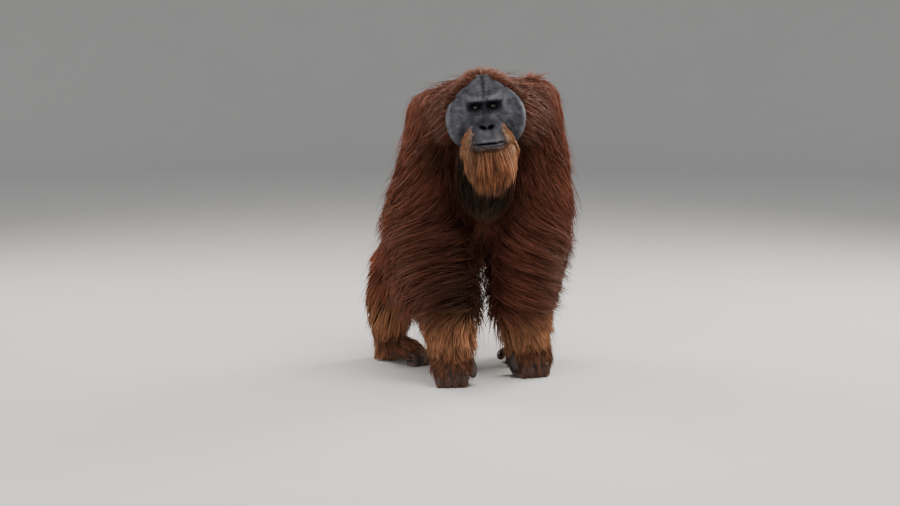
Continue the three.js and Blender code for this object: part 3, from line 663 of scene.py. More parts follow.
def hair_material(name, roughness=0.55, specular=0.16):
    """Hair that takes its colour from the piece, darkened toward the root with painted shade and streaked
    along the tuft
    """
    material, tree, shader = material_of(name, roughness, specular)
    tone = mottled(tree, attribute(tree, "coat_colour"), 30.0, 0.16, roughness)
    along = attribute(tree, "along", "Fac")
    # Painted shade deep in the coat: the colour falls to 0.4 at the root and rises a little past full at the
    # tip
    depth = ranged(tree, along, 0.0, 0.75, 0.4, 1.15)
    colour = scaled_colour(tree, tone.outputs["Colour"], depth)
    tree.links.new(colour, shader.inputs["Base Color"])
    tree.links.new(tone.outputs["Roughness"], shader.inputs["Roughness"])
    shader.inputs["Specular Tint"].default_value = (1.0, 0.72, 0.5, 1)
    shader.inputs["Sheen Weight"].default_value = 0.08
    shader.inputs["Sheen Roughness"].default_value = 0.35
    shader.inputs["Sheen Tint"].default_value = (1.0, 0.62, 0.38, 1)
    return material


def skin_material():
    """Bare leathery skin, with pores and a net of fine creases"""
    material, tree, shader = material_of("skin", 0.55, 0.3)
    coord = add(tree, "ShaderNodeTexCoord").outputs["Object"]
    tone = mottled(tree, attribute(tree, "skin_colour"), 55.0, 0.3, 0.55)
    shine = ranged(tree, attribute(tree, "skin_colour", "Fac"), 0.0, 0.05, 0.0, 0.32)
    tree.links.new(shine, shader.inputs["Specular IOR Level"])
    tree.links.new(tone.outputs["Colour"], shader.inputs["Base Color"])
    tree.links.new(tone.outputs["Roughness"], shader.inputs["Roughness"])
    cells = add(tree, "ShaderNodeTexVoronoi", feature="DISTANCE_TO_EDGE")
    cells.inputs["Scale"].default_value = 330
    tree.links.new(coord, cells.inputs["Vector"])
    net = ranged(tree, cells.outputs["Distance"], 0.0, 0.16, 0.0, 1.0)
    pores = noise(tree, 900, 2, 0.6, coord)
    creases = noise(tree, 160, 5, 0.65, coord)
    height = math_node(tree, "MULTIPLY", net, 0.5)
    for part, amount in ((pores, 0.3), (creases, 1.1)):
        height = math_node(tree, "ADD", height, math_node(tree, "MULTIPLY", part, amount))
    bump = add(tree, "ShaderNodeBump")
    bump.inputs["Strength"].default_value = 0.8
    bump.inputs["Distance"].default_value = 0.0012
    tree.links.new(height, bump.inputs["Height"])
    tree.links.new(bump.outputs["Normal"], shader.inputs["Normal"])
    return material


def eye_material():
    """A dark brown eye: pupil, ringed iris and brown white of the eye, under a wet coat"""
    material, tree, shader = material_of("eye", 0.4, 0.2)
    away = attribute(tree, "from_axis", "Fac")
    coord = add(tree, "ShaderNodeTexCoord").outputs["Object"]
    ramp = add(tree, "ShaderNodeValToRGB")
    stops = [(0.0, (0.002, 0.002, 0.002)), (0.17, (0.003, 0.002, 0.002)), (0.2, (0.022, 0.009, 0.004)),
             (0.36, (0.035, 0.014, 0.006)), (0.43, (0.008, 0.004, 0.003)), (0.5, (0.016, 0.01, 0.008)),
             (1.0, (0.012, 0.007, 0.005))]
    ramp.color_ramp.elements.remove(ramp.color_ramp.elements[1])
    ramp.color_ramp.elements[0].color = (*stops[0][1], 1)
    for place, colour in stops[1:]:
        ramp.color_ramp.elements.new(place).color = (*colour, 1)
    tree.links.new(ranged(tree, away, 0.0, 14.0, 0.0, 1.0), ramp.inputs["Fac"])
    flecks = ranged(tree, noise(tree, 1500, 3, 0.6, coord), 0.3, 0.7, 0.7, 1.35)
    tree.links.new(scaled_colour(tree, ramp.outputs["Color"], flecks), shader.inputs["Base Color"])
    shader.inputs["Coat Weight"].default_value = 1.0
    shader.inputs["Coat Roughness"].default_value = 0.08
    shader.inputs["Coat IOR"].default_value = 1.4
    return material


def nail_material():
    material, tree, shader = material_of("nail", 0.38, 0.5)
    tone = mottled(tree, (0.018, 0.014, 0.012, 1), 160.0, 0.3, 0.36)
    tree.links.new(tone.outputs["Colour"], shader.inputs["Base Color"])
    tree.links.new(tone.outputs["Roughness"], shader.inputs["Roughness"])
    return material


def floor_material():
    material, tree, shader = material_of("floor", 0.8, 0.25)
    tone = mottled(tree, (0.56, 0.55, 0.535, 1), 3.0, 0.02, 0.8)
    tree.links.new(tone.outputs["Colour"], shader.inputs["Base Color"])
    return material


SKIN = skin_material()
HAIR = hair_material("coat_hair")
BEARD_HAIR = hair_material("beard_hair", 0.5, 0.25)
LIGHT_HAIR = hair_material("light_hair", 0.55, 0.2)

# Colours of the coat and skin by place

# The coat's rust brown as painted light: it goes on the tops and outer sides of the hair
LIT_RUST = paint(120, 64, 46)
BROWN = paint(80, 42, 33)
# Dark skin, and the dark tone that paints shade into the coat
DARK = paint(32, 16, 13)
TAN = paint(156, 108, 78)
ORANGE = paint(140, 88, 58)
PALE = paint(188, 156, 122)
CROWN = paint(116, 69, 52)
GREY = paint(60, 60, 67)
GREY_PALE = paint(100, 99, 106)
GREY_DARK = paint(24, 24, 28)
PINK = paint(146, 112, 104)
LIP_GREY = paint(46, 45, 51)
LOWER_LIP = paint(56, 50, 52)


def blend_to(colours, other, amount):
    return colours + (other - colours) * np.asarray(amount)[:, None]


def coat_colour(points, normals):
    """The coat's colour at places in the modelling frame: its own brown, tan and patches, with painted top
    and rim light and painted shade underneath, below the head, between the arms and beside the head
    """
    x, y, z = points.T
    colours = np.tile(BROWN, (len(points), 1))
    outer = smooth(130, 280, np.abs(x))
    # Paler rust on upward-facing hair is painted top light, and toward the outer sides painted rim light
    colours = blend_to(colours, LIT_RUST, np.clip(0.4 * smooth(0.0, 0.9, normals[:, 2]) + 0.6 * outer, 0, 1))
    # Painted shade: under downward-facing hair, on the chest front below the head, and on the inner sides
    # between the arms
    under = smooth(0.0, -0.7, normals[:, 2]) * 0.5
    between = rise(0, 90, x) * smooth(-60, -200, y) * smooth(860, 780, z)
    inner = 0.6 * smooth(60, 30, np.abs(x)) * smooth(720, 640, z) * smooth(80, -20, y)
    colours = blend_to(colours, DARK, np.clip(under + between + inner, 0, 0.97))
    shin = smooth(340, 240, z) * smooth(100, 150, y)
    colours = blend_to(colours, TAN, 0.75 * shin)
    wrist = smooth(290, 190, z) * smooth(120, 20, y)
    colours = blend_to(colours, TAN, 0.9 * wrist)
    patches = lumps(x + y, z, 70, 21)
    # Darker in front beside the head: painted shade
    shade_beside_head = rise(0, 190, x) * smooth(740, 800, z) * smooth(0, -60, y)
    return colours * (1 + 0.16 * patches - 0.4 * shade_beside_head)[:, None]


# Tufts: thin three-sided locks of hair that follow the lie of the coat, each a path and a width

LONG = np.array([0.0, 0.28, 0.56, 0.8, 1.0])
SHORT = np.array([0.0, 0.38, 0.74, 1.0])
LONG_WIDTHS = np.array([0.75, 1.0, 0.86, 0.55])
SHORT_WIDTHS = np.array([0.8, 1.0, 0.62])
RIDGE = 0.375
PATCH = 0.003
LOWEST_HAIR = 1.5

# Steps that spread places evenly over a square, and the most clumps round a limb and in all

EVEN_STEPS = (0.7548776662466927, 0.5698402909980532)
MOST_COLUMNS = 256
MOST_CLUMPS = MOST_COLUMNS * 200


def spread(limb, count, low, high, seed):
    """Even places over a limb's skin: u and angle"""
    grid = np.linspace(low, high, 160)
    rings = np.stack([limb.skin(grid, np.full(160, turn)) for turn in np.arange(8) * math.pi / 4])
    around = np.linalg.norm(rings - np.roll(rings, 1, axis=0), axis=2).sum(0)
    steps = np.linalg.norm(np.diff(rings, axis=1), axis=2).mean(0)
    area = np.concatenate([[0], np.cumsum((around[1:] + around[:-1]) / 2 * steps)])
    k = np.arange(count) + seed
    first = (k * EVEN_STEPS[0]) % 1
    second = (k * EVEN_STEPS[1]) % 1
    return np.interp(first * area[-1], area, grid), second * 2 * math.pi


def trace(limb, u, angle, length, tip_height, way, turn, stations, sink=3.0):
    """The paths of tufts over a limb, from sunk roots to raised tips, in the way the coat lies there"""
    u, angle = u.copy(), angle.copy()
    free = np.zeros(len(u), bool)
    base = heading = normal = along = around = None
    points, normals, headings = [], [], []
    place = 0.0
    for station in stations:
        step = ((station - place) * length)[:, None]
        place = station
        if base is not None:
            next_u = u + step[:, 0] * dot(heading, along) / dot(along, along)
            next_angle = angle + step[:, 0] * dot(heading, around) / dot(around, around)
            free |= (next_u < 0.006) | (next_u > 0.97)
            u, angle = np.where(free, u, next_u), np.where(free, angle, next_angle)
        at, up, along, around = limb.tangents(np.clip(u, 0.004, 0.98), angle)
        aim = way(u, at, up)
        aim = unit(aim - up * dot(aim, up)[:, None])
        aim = aim * np.cos(turn)[:, None] + np.cross(up, aim) * np.sin(turn)[:, None]
        if base is not None:
            loose = free[:, None]
            at = np.where(loose, base + heading * step + DOWN * 0.3 * step, at)
            up = np.where(loose, normal, up)
            aim = np.where(loose, heading, aim)
        base, heading, normal = at, aim, up
        sag = length * 0.3 * station**2 * smooth(0.25, -0.8, up[:, 2])
        height = mix(-sink, tip_height, station**0.8)
        points.append(at + up * height[:, None] + DOWN * sag[:, None])
        normals.append(up)
        headings.append(aim)
    return np.stack(points, 1), np.stack(normals, 1), np.stack(headings, 1)


def clumps_of(limb, u, angle, size, seed):
    """The clump each tuft belongs to: its number, and its middle's u and angle"""
    draws = np.random.default_rng(seed)
    rows = max(3, int(limb.length / size))
    row = np.clip((u * rows).astype(int), 0, rows - 1)
    middle = (np.arange(rows) + 0.5) / rows
    _, _, _, _, wide, deep = limb.frame(middle)
    columns = np.maximum(4, (math.pi * (wide + deep) / size).astype(int))
    offset = draws.random(rows)
    column = np.floor((angle / (2 * math.pi) + offset[row]) * columns[row]).astype(int)
    jitter = draws.uniform(-0.3, 0.3, (rows, MOST_COLUMNS, 2))
    number = row * MOST_COLUMNS + column % MOST_COLUMNS
    middle_u = (row + 0.5 + jitter[row, column % MOST_COLUMNS, 0]) / rows
    turn = (column + 0.5 + jitter[row, column % MOST_COLUMNS, 1]) / columns[row] - offset[row]
    return number, middle_u, turn * 2 * math.pi


def limb_tufts(limb, count, low, high, *, length, height, width, way, stations=LONG, clump=34, pull=0.6,
               swirl=0.2, seed=1, keep=None, others=(), margin=2.0, frame_of=None, colour=coat_colour,
               atlas=(0, 0, 1, 1), shade=0.3, wisps=0.12):
    """One batch of tufts over a limb"""
    draws = np.random.default_rng(SEED * 100 + seed)
    u, angle = spread(limb, count, low, high, seed * 37)
    number, clump_u, clump_angle = clumps_of(limb, u, angle, clump, seed)
    table = np.random.default_rng(seed + 500).random((MOST_CLUMPS, 4))[number % MOST_CLUMPS]
    root, up, _, _ = limb.tangents(u, angle)
    keeps = np.ones(len(u), bool)
    if keep is not None:
        keeps &= keep(u, root, up)
    for other in others:
        keeps &= ~other.holds(root, margin)
    u, angle, clump_u, clump_angle, table = (a[keeps] for a in (u, angle, clump_u, clump_angle, table))
    n = len(u)
    long = length(u, angle) if callable(length) else np.full(n, float(length))
    tall = height(u, angle) if callable(height) else np.full(n, float(height))
    own = draws.random((n, 5))
    wisp = draws.random(n) < wisps
    long, tall = np.where(wisp, 1.12, 1.0) * long, np.where(wisp, 1.7, 1.0) * tall
    drift = 0.22 * lumps(u * limb.length, angle * 90, 90, seed + 40)
    own_turn = drift + swirl * 0.5 * (own[:, 0] * 2 - 1)
    clump_turn = drift + swirl * (table[:, 0] * 2 - 1)
    clump_long = long * mix(0.82, 1.14, table[:, 1])
    clump_tall = tall * mix(0.45, 1.25, table[:, 2])
    points, normals, headings = trace(limb, u, angle, long * mix(0.7, 1.1, own[:, 1]),
                                      tall * mix(0.35, 1.05, own[:, 2]), way, own_turn, stations)
    middles = trace(limb, np.clip(clump_u, 0.02, 0.98), clump_angle, clump_long, clump_tall, way,
                    clump_turn, stations)[0]
    pulls = pull * mix(0.6, 1.3, own[:, 4]) * np.where(wisp, 0.3, 1.0)
    share = np.clip(pulls[:, None] * stations**1.25, 0, 0.92)[:, :, None]
    points = points * (1 - share) + middles * share
    place, out = points[:, 0], normals[:, 0]
    if frame_of is not None:
        points, normals, headings = (frame_of(a) for a in (points, normals, headings))
        origin = frame_of(np.zeros((1, 1, 3)))
        normals, headings = normals - origin, headings - origin
        place, out = points[:, 0], normals[:, 0]
    tone = 1 + shade * (table[:, 3] * 2 - 1) + 1.1 * shade * (own[:, 3] * 2 - 1)
    colours = colour(place, out) * tone[:, None]
    x0, y0, x1, y1 = atlas
    uv = np.stack([mix(x0, x1, (angle / (2 * math.pi)) % 1), mix(y0, y1, u)], 1)
    roll = (own[:, 0] * 2 - 1) * 0.55
    wide = width * mix(0.75, 1.25, own[:, 1]) * np.where(wisp, 0.5, 1.0)
    return {"points": points, "normals": normals, "headings": headings, "uv": uv, "width": wide, "roll": roll,
            "colour": colours}


def hanging_tufts(root, normal, uv, *, length, lift, width, colour, fall=(0.0, 0.0, -1.0), gather=0.0,
                  stations=LONG, seed=1, shade=0.3, clump=12.0, pull=0.5, scatter=0.14, frame_of=in_head):
    """One batch of tufts that leave the skin and hang free, in the head's own frame unless told otherwise"""
    draws = np.random.default_rng(SEED * 200 + seed)
    n = len(root)
    own = draws.random((n, 6))
    cells = np.round(root / clump).astype(int) @ np.array([131, 1711, 17])
    _, number = np.unique(cells, return_inverse=True)
    table = draws.random((number.max() + 1, 5))[number]
    long = np.broadcast_to(length, n) * mix(0.7, 1.06, own[:, 1]) * mix(0.84, 1.14, table[:, 1])
    tall = np.broadcast_to(lift, n) * mix(0.4, 1.3, own[:, 2])
    way = np.broadcast_to(fall, (n, 3)) + scatter * (own[:, 3:6] * 2 - 1)
    way = unit(way + 1.4 * scatter * (table[:, 2:5] * 2 - 1))
    aside = np.stack([root[:, 0], np.zeros(n), np.zeros(n)], 1)
    points = []
    for station in stations:
        at = root + normal * (mix(-2.5, 0, station) + tall * (1 - (1 - station) ** 2))[:, None]
        at = at + way * (long * station**1.15)[:, None] - aside * gather * station**2
        points.append(at)
    points = np.stack(points, 1)
    sums = np.zeros((number.max() + 1, *points.shape[1:]))
    np.add.at(sums, number, points)
    middles = sums[number] / np.bincount(number)[number][:, None, None]
    share = np.clip(pull * mix(0.4, 1.4, own[:, 4])[:, None] * stations**1.3, 0, 0.9)[:, :, None]
    points[:, :, :2] = (points * (1 - share) + middles * share)[:, :, :2]
    headings = unit(np.diff(points, axis=1, append=(2 * points[:, -1:] - points[:, -2:-1])))
    normals = np.repeat(normal[:, None], len(stations), 1)
    origin = frame_of(np.zeros((1, 1, 3)))
    points, normals, headings = frame_of(points), frame_of(normals) - origin, frame_of(headings) - origin
    tone = 1 + shade * (table[:, 0] * 2 - 1) + 0.9 * shade * (own[:, 3] * 2 - 1)
    return {"points": points, "normals": normals, "headings": headings, "uv": uv,
            "width": width * mix(0.7, 1.25, own[:, 1]), "roll": (own[:, 0] * 2 - 1) * 0.5,
            "colour": colour * tone[:, None]}


def face_roots(x, z):
    """Places and outward normals on the face, and their spot on the map"""
    e = 1.5
    slope_x = (face_out(x + e, z) - face_out(x - e, z)) / (2 * e)
    slope_z = (face_out(x, z + e) - face_out(x, z - e)) / (2 * e)
    normal = unit(np.stack([-slope_x, -np.ones(len(x)), -slope_z], 1))
    uv = np.stack([np.clip((x + 125) / 250, 0, 1), np.clip((z + 155) / 255, 0, 1)], 1)
    return np.stack([x, -face_out(x, z), z], 1), normal, uv


def limb_roots(limb, count, low, high, seed):
    u, angle = spread(limb, count, low, high, seed * 37)
    root, normal, _, _ = limb.tangents(u, angle)
    return root, normal, np.stack([(angle / (2 * math.pi)) % 1, u], 1)


def lock_pattern(name, stations, widths):
    """The pattern of one lock, of unit width: rings of two edges and a ridge, and the tip"""
    rings = len(stations) - 1
    places = [(*corner, ring) for ring in range(rings) for corner in ((-0.5, 0), (0.5, 0), (0, RIDGE))]
    places.append((0, 0, rings))
    faces = []
    for ring in range(rings - 1):
        for k in range(3):
            a, b = ring * 3 + k, ring * 3 + (k + 1) % 3
            faces.append((b, a, a + 3, b + 3))
    last, tip = (rings - 1) * 3, rings * 3
    faces += [(last + (k + 1) % 3, last + k, tip) for k in range(3)]
    faces.append((0, 1, 2))
    pattern = mesh_piece(name, places, faces, None)
    across, over, ring = np.array(places, float).T
    wide = np.append(widths, 0.0)[ring.astype(int)]
    along = np.append(stations[:rings], 1.0)[ring.astype(int)]
    add_value(pattern.data, "across", across * wide)
    add_value(pattern.data, "over", over * wide)
    add_value(pattern.data, "ring", ring)
    add_value(pattern.data, "along", along)
    add_vector(pattern.data, "patch_place", np.stack([across, along - 0.5, 0 * along], 1) * PATCH)
    return pattern


def tuft_tree():
    """Sets a pattern lock on every root and bends it along the root's path: the tree and its sockets"""
    tree = bpy.data.node_groups.new("tufts", "GeometryNodeTree")
    inputs = [
        ("Paths", "NodeSocketGeometry"),
        ("Long lock", "NodeSocketObject"),
        ("Short lock", "NodeSocketObject"),
        ("Hair", "NodeSocketMaterial"),
        ("Lowest", "NodeSocketFloat"),
    ]
    sockets = {label: tree.interface.new_socket(label, in_out="INPUT", socket_type=kind).identifier
               for label, kind in inputs}
    tree.interface.new_socket("Tufts", in_out="OUTPUT", socket_type="NodeSocketGeometry")
    start, end = add(tree, "NodeGroupInput"), add(tree, "NodeGroupOutput")
    paths = start.outputs["Paths"]

    def named(name, kind):
        node = add(tree, "GeometryNodeInputNamedAttribute", data_type=kind)
        node.inputs["Name"].default_value = name
        return node.outputs["Attribute"]

    def stored(geometry, name, kind, domain, value):
        node = add(tree, "GeometryNodeStoreNamedAttribute", data_type=kind, domain=domain)
        node.inputs["Name"].default_value = name
        tree.links.new(geometry, node.inputs["Geometry"])
        tree.links.new(value, node.inputs["Value"])
        return node.outputs["Geometry"]

    def vector_node(operation, a, b):
        node = add(tree, "ShaderNodeVectorMath", operation=operation)
        tree.links.new(a, node.inputs[0])
        tree.links.new(b, node.inputs["Scale" if operation == "SCALE" else 1])
        return node.outputs["Vector"]

    numbered = stored(paths, "first", "INT", "POINT", add(tree, "GeometryNodeInputIndex").outputs["Index"])
    both = add(tree, "GeometryNodeJoinGeometry")
    for label, root in (("Long lock", "long_root"), ("Short lock", "short_root")):
        pattern = add(tree, "GeometryNodeObjectInfo")
        tree.links.new(start.outputs[label], pattern.inputs["Object"])
        locks = add(tree, "GeometryNodeInstanceOnPoints")
        tree.links.new(numbered, locks.inputs["Points"])
        tree.links.new(named(root, "BOOLEAN"), locks.inputs["Selection"])
        tree.links.new(pattern.outputs["Geometry"], locks.inputs["Instance"])
        tree.links.new(locks.outputs["Instances"], both.inputs["Geometry"])
    real = add(tree, "GeometryNodeRealizeInstances")
    tree.links.new(both.outputs["Geometry"], real.inputs["Geometry"])
    here = math_node(tree, "ADD", named("first", "INT"), named("ring", "FLOAT"))

    def on_path(value):
        node = add(tree, "GeometryNodeSampleIndex", data_type="FLOAT_VECTOR", domain="POINT")
        tree.links.new(paths, node.inputs["Geometry"])
        tree.links.new(value, node.inputs["Value"])
        tree.links.new(here, node.inputs["Index"])
        return node.outputs["Value"]

    place = on_path(add(tree, "GeometryNodeInputPosition").outputs["Position"])
    for way, amount in (("side", "across"), ("up", "over")):
        shift = vector_node("SCALE", on_path(named(way, "FLOAT_VECTOR")), named(amount, "FLOAT"))
        place = vector_node("ADD", place, shift)
    apart, together = add(tree, "ShaderNodeSeparateXYZ"), add(tree, "ShaderNodeCombineXYZ")
    tree.links.new(place, apart.inputs[0])
    for axis in ("X", "Y"):
        tree.links.new(apart.outputs[axis], together.inputs[axis])
    height = math_node(tree, "MAXIMUM", apart.outputs["Z"], start.outputs["Lowest"])
    tree.links.new(height, together.inputs["Z"])
    bent = add(tree, "GeometryNodeSetPosition")
    tree.links.new(real.outputs["Geometry"], bent.inputs["Geometry"])
    tree.links.new(together.outputs[0], bent.inputs["Position"])
    patch = vector_node("ADD", named("patch_middle", "FLOAT_VECTOR"), named("patch_place", "FLOAT_VECTOR"))
    mapped = stored(bent.outputs["Geometry"], "OFBake", "FLOAT2", "CORNER", patch)
    coloured = add(tree, "GeometryNodeSetMaterial")
    tree.links.new(mapped, coloured.inputs["Geometry"])
    tree.links.new(start.outputs["Hair"], coloured.inputs["Material"])
    tree.links.new(coloured.outputs["Geometry"], end.inputs["Tufts"])
    return tree, sockets


PATTERNS = {
    "Long lock": lock_pattern("long_lock", LONG, LONG_WIDTHS),
    "Short lock": lock_pattern("short_lock", SHORT, SHORT_WIDTHS),
}
TUFTS, TUFT_SOCKETS = tuft_tree()
WORKING_LAYERS = (
    "first", "side", "up", "long_root", "short_root", "patch_middle", "patch_place", "across", "over", "ring",
)


def path_mesh(name, batches):
    """The paths of all the tufts of a piece, as points with what the tree reads"""
    at, sides, ups, colours, patches, stations = [], [], [], [], [], []
    for batch in batches:
        n, count = batch["points"].shape[:2]
        side = unit(np.cross(batch["headings"], batch["normals"]))
        up = unit(np.cross(side, batch["headings"]))
        c, s = np.cos(batch["roll"])[:, None, None], np.sin(batch["roll"])[:, None, None]
        wide = batch["width"][:, None, None] * MM
        at.append(to_row(batch["points"]).reshape(-1, 3))
        sides.append(((side * c + up * s) * wide).reshape(-1, 3))
        ups.append(((up * c - side * s) * wide).reshape(-1, 3))
        colours.append(np.repeat(np.clip(batch["colour"], 0.001, 0.95), count, 0))
        middle = batch["uv"] * (1 - PATCH) + PATCH / 2
        patches.append(np.repeat(np.column_stack([middle, np.zeros(n)]), count, 0))
        first = np.zeros((n, count), int)
        first[:, 0] = count
        stations.append(first.ravel())
    at, stations = np.concatenate(at), np.concatenate(stations)
    mesh = bpy.data.meshes.new(name)
    mesh.vertices.add(len(at))
    mesh.vertices.foreach_set("co", at.astype(np.float32).ravel())
    add_vector(mesh, "side", np.concatenate(sides))
    add_vector(mesh, "up", np.concatenate(ups))
    add_vector(mesh, "patch_middle", np.concatenate(patches))
    add_colour(mesh, "coat_colour", np.concatenate(colours))
    for root, count in (("long_root", len(LONG)), ("short_root", len(SHORT))):
        layer = mesh.attributes.new(root, "BOOLEAN", "POINT")
        layer.data.foreach_set("value", stations == count)
    return mesh


def coat_piece(name, batches, material, slot, *nodes):
    """One mesh of tufts, each with its own small patch of the map"""
    piece = bpy.data.objects.new(name, path_mesh("paths", batches))
    bpy.context.scene.collection.objects.link(piece)
    growing = piece.modifiers.new("tufts", "NODES")
    growing.node_group = TUFTS
    for label, pattern in PATTERNS.items():
        growing[TUFT_SOCKETS[label]] = pattern
    growing[TUFT_SOCKETS["Hair"]] = material
    growing[TUFT_SOCKETS["Lowest"]] = float(to_row([0, 0, LOWEST_HAIR])[2])
    depsgraph = bpy.context.evaluated_depsgraph_get()
    grown = bpy.data.meshes.new_from_object(piece.evaluated_get(depsgraph), preserve_all_data_layers=True,
                                            depsgraph=depsgraph)
    piece.modifiers.remove(growing)
    paths, piece.data = piece.data, grown
    bpy.data.meshes.remove(paths)
    grown.name = name
    for layer in WORKING_LAYERS:
        grown.attributes.remove(grown.attributes[layer])
    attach(piece, "root")
    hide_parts(*nodes)


# The skin: the body melted into one, with a fine face, hands and feet

EXTREMITIES = [(HANDS[tag], hand_limbs) for tag in "rl"] + [(FEET[tag], foot_limbs) for tag in "rl"]


def body_skin():
    parts = [limb.loft(26, 28) for limb in BODY]
    for limb in (skull, jawbone, chin):
        points, faces = limb.loft(12, 20, -1.5)
        parts.append((in_head(points), faces))
    return grown_together(parts, 8.5, 10)


def extremity_skins():
    skins = []
    for place, limbs_of in EXTREMITIES:
        main, digits, first = limbs_of(place[3])
        parts = []
        for limb in [main, *digits, first]:
            points, faces = limb.loft(14, 16)
            parts.append((placed(points, place), faces))
        points, faces = grown_together(parts, 3.4, 4)
        points[:, 2] = np.maximum(points[:, 2], 0)
        skins.append((points, faces))
    return skins


ALMOND = {"half": 12.0, "upper": 5.4, "lower": 4.0}
LID_REACH = np.array([25.0, 18.0])


def face_skin():
    """The fine face: a sheet of rows and columns with a rolled rim and a closed back"""
    spaced = np.linspace(-1, 1, 143)
    columns = np.sign(spaced) * (0.6 * np.abs(spaced) + 0.4 * np.abs(spaced) ** 2.2)
    heights = np.linspace(95, -150, 2000)
    near = 1 + 0.9 * rise(-60, 10, heights) + 1.0 * rise(-108, 9, heights) + 0.5 * rise(0, 18, heights)
    rows = np.interp(np.linspace(0, 1, 178), np.cumsum(near) / near.sum(), heights)
    rows[0], rows[-1] = 95, -150
    z = np.repeat(rows, len(columns))
    x = curve(FACE_OUTLINE, z) * np.tile(columns, len(rows))
    out = face_surface(x, z)
    inside_lids = np.hypot((np.abs(x) - EYE["x"]) / LID_REACH[0], z / LID_REACH[1])
    out -= 7 * smooth(0.9, 0.7, inside_lids)
    points = np.stack([x, -out, z], 1)
    wide, tall = len(columns), len(rows)
    faces = []
    for i in range(tall - 1):
        for j in range(wide - 1):
            a = i * wide + j
            faces.append((a, a + wide, a + wide + 1, a + 1))
    rim = [i * wide for i in range(tall - 1)]
    rim += [(tall - 1) * wide + j for j in range(wide - 1)]
    rim += [i * wide + wide - 1 for i in range(tall - 1, 0, -1)]
    rim += [j for j in range(wide - 1, 0, -1)]
    edge = points[rim]
    ring_start = rim
    all_points = [points]
    count = len(points)
    for back, spread_out in ((3, 1.014), (9, 1.02), (18, 1.008), (26, 0.985), (31, 0.93)):
        ring = edge * [spread_out, 1, mix(1, spread_out, 0.5)] + [0, back, 0]
        all_points.append(ring)
        ring_index = list(range(count, count + len(rim)))
        for k in range(len(rim)):
            nxt = (k + 1) % len(rim)
            faces.append((ring_start[nxt], ring_start[k], ring_index[k], ring_index[nxt]))
        ring_start = ring_index
        count += len(rim)
    all_points.append(np.array([[0, 44.0, 0]]))
    for k in range(len(rim)):
        faces.append((ring_start[(k + 1) % len(rim)], ring_start[k], count))
    return np.vstack(all_points), faces


def lid_skin(side):
    """Both lids of an eye: a sheet that leaves the face, rides over the eyeball and turns in at the almond"""
    around, rings = 88, 26
    theta = np.arange(around) * 2 * math.pi / around
    tall = np.where(np.sin(theta) > 0, ALMOND["upper"], ALMOND["lower"])
    almond_x = ALMOND["half"] * np.sign(np.cos(theta)) * np.abs(np.cos(theta)) ** 0.9
    almond_z = tall * np.sin(theta) * (1 - 0.25 * np.cos(theta) ** 2) - 0.8 - 0.05 * almond_x
    outer_x, outer_z = LID_REACH[0] * np.cos(theta), LID_REACH[1] * np.sin(theta)
    points = []
    radius = EYE["radius"]
    for turn_in in (1.0, 0.5):
        shrink = 1 - 0.1 * turn_in
        dx, dz = almond_x * shrink, almond_z * shrink
        depth = np.sqrt(np.maximum(1, (radius - 1.2 * turn_in) ** 2 - dx**2 - dz**2)) + 0.6 * (1 - turn_in)
        points.append(np.stack([side * (EYE["x"] + dx), EYE["y"] - depth, dz], 1))
    for k in range(rings):
        t = k / (rings - 1)
        dx = mix(almond_x, outer_x, t**1.25)
        dz = mix(almond_z, outer_z, t**1.25)
        x, z = EYE["x"] + dx, dz
        lid_radius = radius + 2.3 - 0.9 * rise(0, 0.06, t)
        dome = np.sqrt(np.maximum(4, lid_radius**2 - (dx * 0.93) ** 2 - dz**2)) - EYE["y"]
        dome += 0.5 * rise(0.07, 0.05, t)
        face = face_surface(x, z)
        soft = 1.6
        both = soft * np.logaddexp(face / soft, dome / soft)
        both -= 0.9 * rise(0.24, 0.04, t) * smooth(0.1, 0.6, np.sin(theta))
        both -= 0.7 * rise(0.36, 0.04, t) * smooth(0.0, -0.5, np.sin(theta))
        both -= 0.5 * rise(0.5, 0.04, t) * smooth(0.2, -0.5, np.sin(theta))
        value = mix(both, face, smooth(0.72, 0.95, t)) - 1.2 * smooth(0.93, 1.0, t)
        points.append(np.stack([side * x, -value, z], 1))
    faces = []
    for r in range(len(points) - 1):
        for k in range(around):
            a, b = r * around + k, r * around + (k + 1) % around
            face = (a, b, b + around, a + around)
            faces.append(face if side > 0 else face[::-1])
    return np.vstack(points), faces


def ear_skin(side):
    """An ear: a cupped shell with a rolled rim"""
    around = 36
    theta = np.arange(around) * 2 * math.pi / around
    profile = [(0.12, -3.0), (0.4, -3.4), (0.62, -2.6), (0.78, 0.2), (0.86, 2.4), (0.95, 3.2), (1.02, 2.2),
               (1.0, -0.4), (0.9, -3.4), (0.7, -6.0), (0.4, -8.0), (0.1, -8.6)]
    points = []
    for share, out in profile:
        wave = 1 + 0.05 * np.sin(3 * theta + 0.6)
        points.append(np.stack([np.full(around, side * out * 1.3), 15 * share * wave * np.cos(theta),
                                22 * share * wave * np.sin(theta)], 1))
    points = np.vstack(points)
    faces = []
    for r in range(len(profile) - 1):
        for k in range(around):
            a, b = r * around + k, r * around + (k + 1) % around
            face = (a, b, b + around, a + around)
            faces.append(face[::-1] if side > 0 else face)
    for ring, flip in ((0, False), (len(profile) - 1, True)):
        face = tuple(ring * around + k for k in range(around))
        faces.append(face if flip == (side < 0) else face[::-1])
    turn = math.radians(side * -24)
    c, s = math.cos(turn), math.sin(turn)
    points = points @ np.array([[c, s, 0], [-s, c, 0], [0, 0, 1]]) + [side * 103, 62, 4]
    return points, faces


